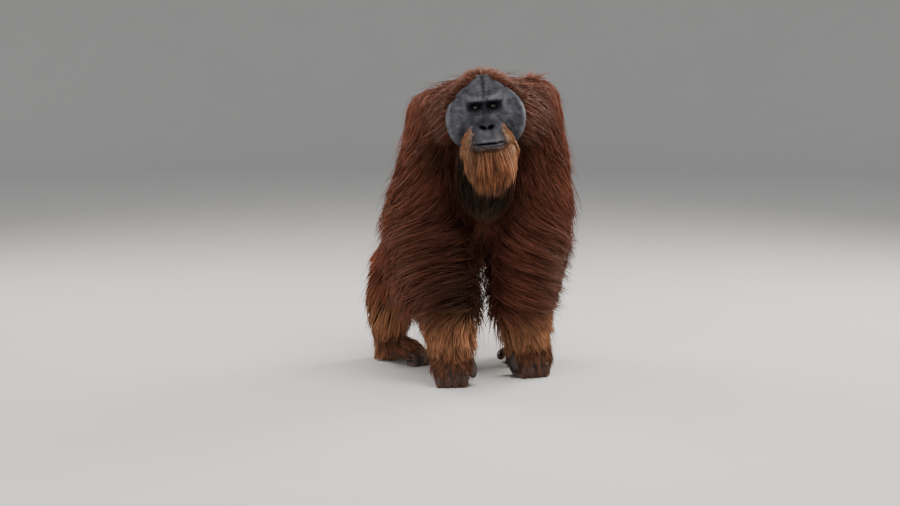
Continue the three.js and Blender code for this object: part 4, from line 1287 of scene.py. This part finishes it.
def face_colour(x, z):
    """The bare face's colour: blue-grey, darker round the eyes and nose, paler on the brow, rims and lips,
    with painted shade in the sockets, under the brow, in the nostrils, the mouth line and the forehead
    furrow, and painted highlights on the brow
    """
    across = np.abs(x)
    edge = curve(FACE_OUTLINE, z) - across
    ragged = 3 + 2.5 * lumps(x, z, 19, 33)
    rim = rise(ragged, 4, edge) * smooth(-120, -90, z) * smooth(70, 20, z)
    brow_corner_highlight = rise(62, 7, across + 2 * lumps(x, z, 8, 39)) * rise(11, 16, z)
    brow_arch_highlight = rise(25 + 0.004 * across**2, 6, z + 2 * lumps(x, z, 12, 40)) * smooth(62, 44, across)
    upper_lip = smooth(-102, -92, z) * smooth(-66, -76, z) * smooth(66, 50, across)
    forehead_furrow_shade = rise(0, 5, across + 2 * lumps(x, z, 14, 34)) * smooth(16, 30, z)
    socket = np.hypot((across - EYE["x"]) / 27, (z + 1) / 16)
    shade_under_brow = smooth(62, 34, across) * smooth(20, 11, z) * smooth(-6, 9, z)
    bridge = rise(0, 14, across) * smooth(-56, -34, z) * smooth(10, -2, z)
    nose = np.hypot(across / 34, (z + 52) / 20)
    from_nostril = across - NOSTRIL["x"]
    nostril = np.hypot(from_nostril / 11.5, (z - NOSTRIL["z"] - 0.25 * from_nostril) / 6.8)
    lips = smooth(MOUTH["half"] + 4, MOUTH["half"] - 5, across)
    under_cheek = rise(74, 13, across + 0.35 * (z + 60)) * smooth(-30, -60, z)
    colours = np.tile(GREY, (len(x), 1))
    for tone, amount in (
        (GREY_DARK, 0.3 * smooth(70, 40, across) * smooth(-100, -60, z)),
        (GREY_PALE, 0.4 * rim),
        # Painted highlights: on the outer corners of the brow and along its arch
        (GREY_PALE * 1.1, 0.72 * brow_corner_highlight),
        (GREY_PALE, 0.3 * brow_arch_highlight),
        (GREY_PALE, 0.14 * rise(58, 14, z) * smooth(34, 12, across)),
        (LIP_GREY, 0.7 * upper_lip),
        # Painted shade in the furrow down the middle of the forehead
        (GREY_DARK, 0.75 * forehead_furrow_shade),
        (GREY_DARK, 0.5 * rise(17, 5, across) * rise(38, 15, z)),
        # The eye sockets: darker skin deepened with painted shade, deepest just under the brow
        (GREY_DARK * 0.75, 0.92 * smooth(1.55, 0.45, socket)),
        (GREY_DARK * 0.35, 0.75 * shade_under_brow),
        (GREY_DARK, 0.75 * bridge),
        (GREY_DARK, 0.7 * smooth(1.3, 0.6, nose)),
        # Nostrils nearly black: painted shade in the nostril holes
        (GREY_DARK * 0.15, 0.99 * smooth(1.2, 0.75, nostril)),
        (LOWER_LIP, 0.75 * smooth(MOUTH["z"] - 2, MOUTH["z"] - 6, z)),
        # The mouth line: painted shade in the crease between the lips
        (GREY_DARK * 0.2, rise(MOUTH["z"], 3.0, z) * lips),
        (GREY_DARK, 0.75 * under_cheek),
    ):
        colours = blend_to(colours, tone, amount)
    colours = colours * (1 - 0.14 * smooth(14, 40, z))[:, None]
    spots = 0.5 * lumps(x, z, 13, 31) + 0.45 * lumps(x, z, 6, 32) + 0.3 * lumps(x, z, 26, 35)
    return np.clip(colours * (1 + 0.42 * spots)[:, None], 0.001, 1)


def build_skin():
    parts, colours = [], []
    points, faces = body_skin()
    parts.append((points, faces))
    colours.append(np.tile(DARK * 0.8, (len(points), 1)))
    for points, faces in extremity_skins():
        parts.append((points, faces))
        low = smooth(16, 4, points[:, 2])
        tone = blend_to(np.tile(paint(64, 53, 50), (len(points), 1)), PINK * 0.8, 0.6 * low)
        colours.append(tone)
    face_points, face_faces = face_skin()
    parts.append((in_head(face_points), face_faces))
    colours.append(face_colour(face_points[:, 0], face_points[:, 2]))
    for side in (-1, 1):
        points, faces = lid_skin(side)
        parts.append((in_head(points), faces))
        colours.append(face_colour(points[:, 0], points[:, 2]))
        points, faces = ear_skin(side)
        parts.append((in_head(points), faces))
        colours.append(np.tile(GREY * 0.8, (len(points), 1)))
    points, faces = joined_mesh(parts)
    skin = mesh_piece("skin", to_row(points), faces, SKIN)
    add_colour(skin.data, "skin_colour", np.vstack(colours))
    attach(skin, "root")
    flesh = [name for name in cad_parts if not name.startswith("eye_")]
    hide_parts(*sorted(flesh))


def build_eyes():
    material = eye_material()
    for tag, side in (("r", -1), ("l", 1)):
        rings, around = 40, 48
        turn = np.linspace(0.0, math.pi, rings + 1)[1:-1]
        radius = EYE["radius"] + 0.75 * rise(0, 0.42, turn)
        theta = np.arange(around) * 2 * math.pi / around
        r = np.repeat(radius, around)
        t = np.repeat(turn, around)
        a = np.tile(theta, len(turn))
        points = np.stack([r * np.sin(t) * np.cos(a), -r * np.cos(t), r * np.sin(t) * np.sin(a)], 1)
        points = np.vstack([points, [[0, -EYE["radius"] - 0.75, 0]], [[0, EYE["radius"], 0]]])
        faces = []
        for k in range(len(turn) - 1):
            for j in range(around):
                p, q = k * around + j, k * around + (j + 1) % around
                faces.append((p, q, q + around, p + around))
        front, back = len(points) - 2, len(points) - 1
        base = (len(turn) - 1) * around
        for j in range(around):
            faces.append((front, (j + 1) % around, j))
            faces.append((back, base + j, base + (j + 1) % around))
        away = np.hypot(points[:, 0], points[:, 2])
        away[back] = 14
        away = np.where(points[:, 1] > 0, 14.0, away)
        points = points + [side * EYE["x"], EYE["y"], 0]
        eye = mesh_piece("eyeball_" + tag, to_row(in_head(points)), faces, material)
        add_value(eye.data, "from_axis", away)
        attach(eye, "root")
        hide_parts("eye_" + tag)


def build_nails():
    material = nail_material()
    parts = []
    for place, limbs_of in EXTREMITIES:
        _, digits, first = limbs_of(place[3])
        is_hand = limbs_of is hand_limbs
        for limb, u in [(digit, 0.9 if is_hand else 0.66) for digit in digits] + [(first, 0.86)]:
            rows, columns = 7, 9
            grid_u = np.repeat(np.linspace(u - 0.075, u + 0.085, rows), columns)
            up = limb.frame(np.array([u]))[3]
            outer = math.pi / 2
            if dot(up, np.array([0.0, -1.0, 0.2]))[0] < 0 and not is_hand:
                outer = -math.pi / 2
            if is_hand and limb is not first:
                outer = math.pi / 2 if dot(up, np.array([0.0, 1.0, 0.0]))[0] > 0 else -math.pi / 2
            if limb is first:
                outer = math.pi / 2 if dot(up, np.array([0.0, -0.4, 1.0]))[0] > 0 else -math.pi / 2
            turn = np.tile(np.linspace(-0.85, 0.85, columns), rows)
            top = limb.skin(grid_u, outer + turn, 0.9)
            low = limb.skin(grid_u, outer + turn, -1.6)
            points = placed(np.vstack([top, low]), place)
            points[:, 2] = np.maximum(points[:, 2], 0.2)
            faces = []
            for i in range(rows - 1):
                for j in range(columns - 1):
                    a = i * columns + j
                    quad = (a, a + 1, a + columns + 1, a + columns)
                    faces.append(quad)
                    faces.append(tuple(k + rows * columns for k in quad[::-1]))
            rim = [j for j in range(columns)] + [i * columns + columns - 1 for i in range(1, rows)]
            rim += [(rows - 1) * columns + j for j in range(columns - 2, -1, -1)]
            rim += [i * columns for i in range(rows - 2, 0, -1)]
            for k in range(len(rim)):
                a, b = rim[k], rim[(k + 1) % len(rim)]
                faces.append((b, a, a + rows * columns, b + rows * columns))
            parts.append((points, faces))
    points, faces = joined_mesh(parts)
    nails = mesh_piece("nails", to_row(points), faces, material)
    mesh = nails.data
    shape = bmesh.new()
    shape.from_mesh(mesh)
    bmesh.ops.recalc_face_normals(shape, faces=shape.faces)
    shape.to_mesh(mesh)
    shape.free()
    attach(nails, "root")
    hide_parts("hand_r", "hand_l", "foot_r", "foot_l")


build_skin()
build_eyes()
build_nails()

# The lie of the coat


def constant(x, y, z):
    return lambda u, point, normal: np.tile(np.array([x, y, z], float), (len(point), 1))


def torso_way(u, point, normal):
    return torso.frame(u)[1] + DOWN * 0.75


def neck_way(u, point, normal):
    aside = np.clip(point[:, 0] / 70, -1, 1) * 0.75
    return np.stack([aside, np.full(len(u), 0.75), np.full(len(u), -0.4)], 1)


def arm_way(limb, outer):
    def way(u, point, normal):
        sweep = smooth(0.3, 0.7, u) * (1 - smooth(0.82, 0.96, u))
        top = smooth(0.024, 0.006, u)
        aside = np.stack([outer * (mix(0.25, 1.15, sweep) + 0.5 * top), mix(0.12, 0.3, sweep) + 0.9 * top,
                          np.zeros(len(u))], 1)
        return limb.frame(u)[1] * (1 - 0.72 * sweep - 0.9 * top)[:, None] + aside
    return way


def leg_way(limb, outer):
    def way(u, point, normal):
        return limb.frame(u)[1] + DOWN * 0.5 + np.array([outer * 0.2, 0.15, 0])
    return way


def crown_way(u, point, normal):
    return np.stack([point[:, 0] * 0.006, np.full(len(u), 0.8), np.full(len(u), -0.35)], 1)


def others_than(limb):
    return [other for other in BODY if other is not limb]


def side_fringe(limb, side, count, low, high, seed, long, atlas, lift=38):
    """Hair that hangs free from one side of an arm"""
    draws = np.random.default_rng(SEED * 300 + seed)
    u = draws.uniform(low, high, count)
    angle = (0 if side > 0 else math.pi) + draws.uniform(-0.8, 0.8, count)
    root, normal, _, _ = limb.tangents(u, angle)
    keeps = np.ones(count, bool)
    for other in others_than(limb):
        keeps &= ~other.holds(root, 2.0)
    u, angle, root, normal = u[keeps], angle[keeps], root[keeps], normal[keeps]
    x0, y0, x1, y1 = atlas
    uv = np.stack([mix(x0, x1, (angle / (2 * math.pi)) % 1), mix(y0, y1, u)], 1)
    return hanging_tufts(root, normal, uv, length=long, lift=lift, width=3.6, seed=seed, clump=20, pull=0.6,
                         colour=coat_colour(root, normal), fall=(side * 0.16, 0.1, -1.0), scatter=0.16,
                         frame_of=as_it_is)


def dome_tuft(limb, outer):
    """Hair over the very top of a shoulder, combed back and out"""
    draws = np.random.default_rng(SEED * 400 + outer)
    count = 170
    u, angle = draws.uniform(0.0002, 0.007, count), draws.uniform(0, 2 * math.pi, count)
    root, normal, _, _ = limb.tangents(u, angle)
    uv = np.stack([angle / (2 * math.pi), 0.7 * u], 1)
    return hanging_tufts(root, normal, uv, length=105, lift=20, width=4.4, seed=56 + outer, clump=20,
                         colour=coat_colour(root, normal), fall=(outer * 0.5, 0.75, -0.25), scatter=0.2,
                         frame_of=as_it_is)


# The parts of a piece's map for its main hair and for what hangs from its sides or below

MAIN_MAP = (0, 0, 1, 0.7)
INNER_MAP = (0, 0.72, 0.48, 1)
OUTER_MAP = (0.5, 0.72, 1, 1)
LOWER_MAP = (0, 0.72, 1, 1)


def build_body_coat():
    common = dict(width=5.6, clump=34, pull=0.55)
    coat_piece("coat_back", [
        limb_tufts(torso, 7800, 0.02, 0.52, length=130, height=38, way=torso_way, seed=1,
                   others=others_than(torso), **common),
    ], HAIR, "coat", "chest")
    coat_piece("coat_rump", [
        limb_tufts(torso, 6000, 0.5, 0.985, length=lambda u, angle: mix(135, 95, smooth(0.75, 0.95, u)),
                   height=lambda u, angle: mix(38, 22, smooth(0.8, 0.96, u)), way=torso_way, seed=2,
                   others=others_than(torso), **common),
    ], HAIR, "coat", "hips")
    for tag, limb, outer in (("right", arm_right, -1), ("left", arm_left, 1)):
        way = arm_way(limb, outer)
        outer_lift = 24 - 10 * outer

        def inner(u, angle):
            return smooth(0.1, 0.9, -outer * np.cos(angle)) * smooth(0.4, 0.5, u)

        def corner(u, angle):
            return smooth(0.2, 0.06, u) * smooth(-0.1, 0.6, outer * np.cos(angle))

        def upper_height(u, angle):
            return mix(32, 46, smooth(0.15, 0.5, u)) * (1 - 0.5 * corner(u, angle)) + 22 * inner(u, angle)

        def lower_height(u, angle):
            return mix(46, 28, smooth(0.8, 0.95, u)) * (1 + 0.5 * inner(u, angle))

        coat_piece(f"coat_arm_{tag}", [
            limb_tufts(limb, 8400, 0.003, 0.56, length=lambda u, angle: mix(112, 140, smooth(0.2, 0.5, u)),
                       height=upper_height, way=way, seed=3 + outer, width=4.4, clump=30, pull=0.58,
                       swirl=0.32, others=others_than(limb), margin=-8, atlas=MAIN_MAP),
            dome_tuft(limb, outer),
            side_fringe(limb, -outer, 500, 0.42, 0.58, 40 + outer, 95, INNER_MAP),
            side_fringe(limb, outer, 600, 0.36, 0.58, 44 + outer, 105 - 15 * outer, OUTER_MAP, outer_lift),
        ], HAIR, "coat", f"upper_arm_{tag[0]}")
        coat_piece(f"coat_forearm_{tag}", [
            limb_tufts(limb, 7300, 0.54, 0.975, length=lambda u, angle: mix(140, 62, smooth(0.75, 0.95, u)),
                       height=lower_height, way=way, seed=6 + outer, width=4.1, clump=22, pull=0.6, swirl=0.3,
                       others=others_than(limb), atlas=MAIN_MAP),
            side_fringe(limb, -outer, 700, 0.56, 0.86, 48 + outer, 85, INNER_MAP),
            side_fringe(limb, outer, 500, 0.56, 0.8, 52 + outer, 80 - 10 * outer, OUTER_MAP, outer_lift),
        ], HAIR, "coat", f"forearm_{tag[0]}")
    for tag, limb, outer in (("right", leg_right, -1), ("left", leg_left, 1)):
        coat_piece(f"coat_leg_{tag}", [
            limb_tufts(limb, 5000, 0.04, 0.97, height=lambda u, angle: mix(40, 20, smooth(0.5, 0.8, u)),
                       length=lambda u, angle: mix(125, 85, smooth(0.5, 0.85, u)), way=leg_way(limb, outer),
                       seed=9 + outer, width=5.0, clump=30, pull=0.55, others=others_than(limb)),
        ], HAIR, "coat", f"thigh_{tag[0]}", f"shin_{tag[0]}")

    def neck_height(u, angle):
        across = np.abs(np.cos(angle))
        return 27 + 30 * smooth(0.3, 0.9, across) + 16 * np.clip(2 * across * np.sin(angle), 0, 1)

    def neck_colour(points, normals):
        return blend_to(coat_colour(points, normals), BROWN, np.full(len(points), 0.65))

    def throat_colour(points, normals):
        # Near-black throat under the beard: painted shadow of the beard over dark brown hair, browner lower
        # down and toward the back
        brown = smooth(680, 560, points[:, 2]) + 0.35 * smooth(-330, -280, points[:, 1])
        return blend_to(np.tile(DARK * 0.12, (len(points), 1)), BROWN, np.clip(brown, 0, 1))

    coat_piece("coat_neck", [
        limb_tufts(neck, 5200, 0.02, 0.98, length=125, height=neck_height, way=neck_way, seed=12, width=4.4,
                   clump=26, pull=0.5, colour=neck_colour, others=[arm_right, arm_left, torso],
                   atlas=(0, 0, 1, 0.6)),
        limb_tufts(throat, 2600, 0.04, 0.9, length=105, height=16, way=constant(0, 0.1, -1), seed=13,
                   width=4.6, clump=28, pull=0.6, colour=throat_colour, others=[torso],
                   atlas=(0, 0.62, 1, 1)),
    ], HAIR, "coat", "neck", "throat")


def crown_colour(points, normals):
    colours = np.tile(CROWN, (len(points), 1))
    x = points[:, 0]
    # Darker where the hair turns from the top to the sides: painted top light
    colours = blend_to(colours, BROWN * 0.85, 0.9 * smooth(0.85, 0.3, normals[:, 2]))
    return colours * (1 + 0.12 * lumps(x, points[:, 1], 40, 23))[:, None]


def beard_colour(root):
    """Orange-tan, paler toward the sides and browner at the middle and underneath"""
    x, y, z = root.T
    colours = np.tile(ORANGE, (len(root), 1))
    colours = blend_to(colours, TAN, 0.75 * smooth(30, 66, np.abs(x)) + 0.3 * rise(-126, 9, z))
    colours = blend_to(colours, BROWN, np.clip(0.5 * rise(6, 26, x) + 0.75 * smooth(-150, -182, z), 0, 0.85))
    colours = blend_to(colours, BROWN, 0.7 * smooth(-14, 20, y))
    return colours * mix(0.76, 0.6, smooth(-138, -176, z))[:, None]


def build_head_coat():
    coat_piece("coat_crown", [
        limb_tufts(skull, 6600, 0.03, 0.95, length=74, height=21, way=crown_way, seed=20, width=3.0, clump=18,
                   pull=0.5, swirl=0.3, stations=SHORT, keep=lambda u, p, n: (p[:, 2] > -50) | (p[:, 1] > 60),
                   frame_of=in_head, colour=crown_colour, atlas=MAIN_MAP),
        limb_tufts(jawbone, 1600, 0.35, 0.98, length=80, height=20, way=constant(0, 0.35, -1), seed=21,
                   width=3.4, clump=20, pull=0.6, stations=SHORT, frame_of=in_head, atlas=LOWER_MAP,
                   colour=lambda p, n: np.tile(mix(BROWN, ORANGE, 0.25), (len(p), 1))),
    ], HAIR, "coat", "head")
    draws = np.random.default_rng(SEED + 77)
    # Beside the muzzle, from the nostrils' height out and down to the jaw
    count = 2800
    t = draws.random(count) ** 0.62
    sides = np.where(draws.random(count) < 0.5, -1, 1)
    z = mix(-50, -136, t)
    inner = np.interp(t, [0, 0.3, 0.55, 0.8, 1], [42, 43, 51, 58, 60])
    outer = np.interp(t, [0, 0.3, 0.55, 0.8, 1], [47, 66, 82, 84, 66])
    ragged = 7 * lumps(z, sides * 20, 9, 36) * smooth(0.3, 0.0, (outer - inner) / 60)
    ragged = ragged + 4 * lumps(z, sides * 20, 5, 37)
    across = mix(inner + ragged - 4, outer, draws.random(count) ** 0.72)
    root, normal, uv = face_roots(sides * across, z)
    length = mix(11, 44, smooth(-50, -100, z)) + 22 * smooth(-104, -130, z)
    aside = np.interp(t, [0, 0.35, 0.7, 1], [0.5, 0.22, -0.12, -0.28])
    fall = unit(np.stack([sides * aside, np.full(count, -0.05), -np.ones(count)], 1))
    tone = np.tile(mix(TAN, ORANGE, 0.4), (count, 1))
    near = smooth(0.8, 0.1, (across - inner) / (outer - inner)) * smooth(-112, -70, z)
    tone = blend_to(tone, PALE, near * draws.uniform(0.3, 0.95, count))
    tone = blend_to(tone, GREY_PALE, 0.7 * smooth(inner + 7, inner - 3, across) + 0.4 * smooth(-70, -50, z))
    tone = blend_to(tone, ORANGE, 0.65 * smooth(-90, -124, z))
    cheeks = hanging_tufts(root, normal, uv * 0.48, length=length, lift=mix(2, 7, smooth(-50, -90, z)),
                           width=1.9, colour=tone * 0.8, fall=fall, seed=30, clump=8, scatter=0.2,
                           stations=SHORT)
    # Short pale stubble on the lips
    count = 600
    upper = draws.random(count) < 0.5
    z = np.where(upper, draws.uniform(-104, -74, count), draws.uniform(-127, -117, count))
    x = np.where(upper, draws.choice([-1, 1], count) * mix(60, 22, draws.random(count) ** 1.6),
                 draws.uniform(-52, 52, count))
    root, normal, uv = face_roots(x, z)
    fall = unit(np.stack([0.3 * np.sign(x), np.full(count, -0.35), -np.ones(count)], 1))
    tone = np.tile(mix(TAN, GREY_PALE, 0.6) * 0.6, (count, 1))
    stubble = hanging_tufts(root, normal, uv * 0.48, length=mix(4, 10, np.abs(x) / 60), lift=1.5, width=0.8,
                            colour=tone, fall=fall, seed=34, clump=4, pull=0.2, scatter=0.3, stations=SHORT)
    # Under the lower lip
    count = 1500
    z = mix(-125, -149, draws.random(count) ** 0.8)
    x = np.interp(z, [-150, -140, -125], [34, 50, 60]) * draws.uniform(-1, 1, count)
    root, normal, uv = face_roots(x, z)
    length = np.abs(z - BEARD_END) - 0.006 * x * x
    front = hanging_tufts(root, normal, uv * 0.48 + [0.5, 0], length=length * 0.6, lift=14, width=2.4,
                          colour=beard_colour(root), seed=31, clump=11, gather=-0.1, scatter=0.16, shade=0.4)
    # All round the chin
    root, normal, uv = limb_roots(chin, 4500, 0.03, 0.97, 32)
    length = np.maximum(34, root[:, 2] - BEARD_END - 0.0085 * root[:, 0] ** 2)
    under = hanging_tufts(root, normal, uv * [1, 0.48] + [0, 0.5], length=length,
                          lift=mix(13, 4, smooth(20, 66, np.abs(root[:, 0]))), width=2.6, seed=32,
                          colour=beard_colour(root), clump=13, gather=0.27, pull=0.75, scatter=0.16,
                          shade=0.42)
    coat_piece("beard_hair", [cheeks, stubble, front, under], BEARD_HAIR, "beard", "jaw")
    # A fringe over the upper edge of the face
    count = 1100
    z = mix(8, 94, draws.random(count) ** 0.75)
    sides = np.where(draws.random(count) < 0.5, -1, 1)
    edge = curve(FACE_OUTLINE, z)
    slope = (curve(FACE_OUTLINE, z + 2) - curve(FACE_OUTLINE, z - 2)) / 4
    outward = unit(np.stack([np.ones(count), -slope], 1))
    inset = mix(-1, 4, draws.random(count)) * smooth(8, 30, z) + 2 * lumps(z, sides * 30, 9, 38)
    root, normal, uv = face_roots(sides * np.maximum(0.5, edge - np.maximum(0, inset)), z)
    fall = unit(np.stack([sides * (0.5 * outward[:, 0] + 0.8 * outward[:, 1]), np.full(count, 1.0),
                          0.5 * outward[:, 1] - 0.8 * outward[:, 0]], 1))
    tone = np.tile(mix(CROWN, BROWN, 0.75), (count, 1)) * mix(0.5, 0.95, smooth(25, 88, z))[:, None]
    fringe = hanging_tufts(root, normal, uv, length=mix(30, 55, draws.random(count)), lift=5, width=1.8,
                           colour=tone, fall=fall, seed=33, clump=9, scatter=0.24, stations=SHORT)
    coat_piece("face_fringe", [fringe], HAIR, "coat", "head", "cheek_pad_r", "cheek_pad_l")


def hand_way(u, point, normal):
    return np.stack([0.014 * point[:, 0], np.full(len(u), -0.35), -np.ones(len(u))], 1)


def hand_colour(points, normals):
    colours = np.tile(mix(TAN, BROWN, 0.72) * 0.75, (len(points), 1))
    return blend_to(colours, TAN, smooth(110, 145, points[:, 2]))


def foot_colour(points, normals):
    return np.tile(mix(TAN, BROWN, 0.55), (len(points), 1))


def build_hand_coat():
    hands, feet = [], []
    for index, (place, limbs_of) in enumerate(EXTREMITIES):
        main, digits, first = limbs_of(place[3])
        base = 0.5 * (index % 2)
        common = dict(
            frame_of=lambda points, place=place: placed(points.reshape(-1, 3), place).reshape(points.shape),
            stations=SHORT, colour=hand_colour if limbs_of is hand_limbs else foot_colour,
        )
        whole = dict(common, seed=50 + index, clump=16, atlas=(base, 0, base + 0.48, 0.6))
        parts = [
            dict(common, seed=60 + 10 * index + k, pull=0.3, atlas=(left, 0.62, left + 0.08, 1))
            for k, left in enumerate(base + 0.09 * np.arange(len(digits) + 1))
        ]
        if limbs_of is hand_limbs:
            hands.append(limb_tufts(main, 1600, 0.04, 0.66, length=46, height=20, way=hand_way, width=2.4,
                                    swirl=0.6, pull=0.65, keep=lambda u, p, n: (n[:, 1] < 0.5) | (u < 0.3),
                                    **whole))
            for digit, part in zip([*digits, first], parts):
                hands.append(limb_tufts(digit, 90, 0.0, 0.22, length=20, height=3, way=constant(0, -0.1, -1),
                                        width=1.7, clump=9, keep=lambda u, p, n: n[:, 1] < 0.2, **part))
        else:
            feet.append(limb_tufts(main, 1500, 0.12, 0.9, length=52, height=12, way=constant(0, -1, -0.35),
                                   width=3.0, pull=0.5, keep=lambda u, p, n: n[:, 2] > 0.05, **whole))
            for digit, part in zip([*digits, first], parts):
                feet.append(limb_tufts(digit, 110, 0.02, 0.28, length=18, height=4, way=constant(0, -1, -0.3),
                                       width=1.9, clump=10, keep=lambda u, p, n: n[:, 2] > 0.1, **part))
    coat_piece("hand_hair", hands, LIGHT_HAIR, "coat_light", "hand_r", "hand_l")
    coat_piece("foot_hair", feet, LIGHT_HAIR, "coat_light", "foot_r", "foot_l")


build_body_coat()
build_head_coat()
build_hand_coat()
for pattern in PATTERNS.values():
    bpy.data.objects.remove(pattern)


# Floor, light and camera


def build_stage():
    """A round floor that sweeps up all round, a wide soft light overhead and two behind"""
    quarter = np.linspace(0, math.pi / 2, 17)[1:]
    profile = [(8.0, 0.0)] + [(8 + 3 * math.sin(a), 3 - 3 * math.cos(a)) for a in quarter]
    sides = 96
    turn = np.arange(sides) * 2 * math.pi / sides
    corners = [(0.0, 0.0, 0.0)] + [(r * math.cos(a), r * math.sin(a), z) for r, z in profile for a in turn]
    faces = [(0, 1 + k, 1 + (k + 1) % sides) for k in range(sides)]
    for ring in range(len(profile) - 1):
        for k in range(sides):
            a, b = 1 + ring * sides + k, 1 + ring * sides + (k + 1) % sides
            faces.append((a, a + sides, b + sides, b))
    mesh_piece("floor", corners, faces, floor_material())
    world = bpy.data.worlds.new("room")
    world.use_nodes = True
    world.node_tree.nodes["Background"].inputs["Color"].default_value = (0.82, 0.84, 0.87, 1)
    world.node_tree.nodes["Background"].inputs["Strength"].default_value = 0.5
    bpy.context.scene.world = world
    for name, place, size, power, colour in (
        ("key", (0.8, -1.7, 3.5), 2.2, 200, (1.0, 0.97, 0.93)),
        ("fill", (-2.4, -3.4, 1.4), 1.3, 55, (0.93, 0.96, 1.0)),
        ("rim_left", (2.4, 1.9, 2.6), 1.6, 160, (1.0, 0.95, 0.88)),
        ("rim_right", (-2.4, 1.9, 2.6), 1.6, 110, (1.0, 0.95, 0.88)),
    ):
        light = bpy.data.lights.new(name, "AREA")
        light.size = size
        light.energy = power
        light.color = colour
        lamp = bpy.data.objects.new(name, light)
        lamp.location = place
        aim = np.array([0, 0, 0.55]) - place
        tilt = math.acos(-aim[2] / np.linalg.norm(aim))
        lamp.rotation_euler = (tilt, 0, math.atan2(aim[1], aim[0]) - math.pi / 2)
        bpy.context.scene.collection.objects.link(lamp)


def build_camera():
    """The photo's view: a little over the animal's eyes, from well ahead, looking slightly down"""
    lens = bpy.data.cameras.new("camera")
    lens.sensor_width = 36
    lens.lens = 83.72
    camera = bpy.data.objects.new("camera", lens)
    camera.location = to_row([-105, -6750, 1250])
    camera.rotation_euler = (math.radians(90 - 7.2), 0, 0)
    bpy.context.scene.collection.objects.link(camera)
    bpy.context.scene.camera = camera


build_stage()
build_camera()
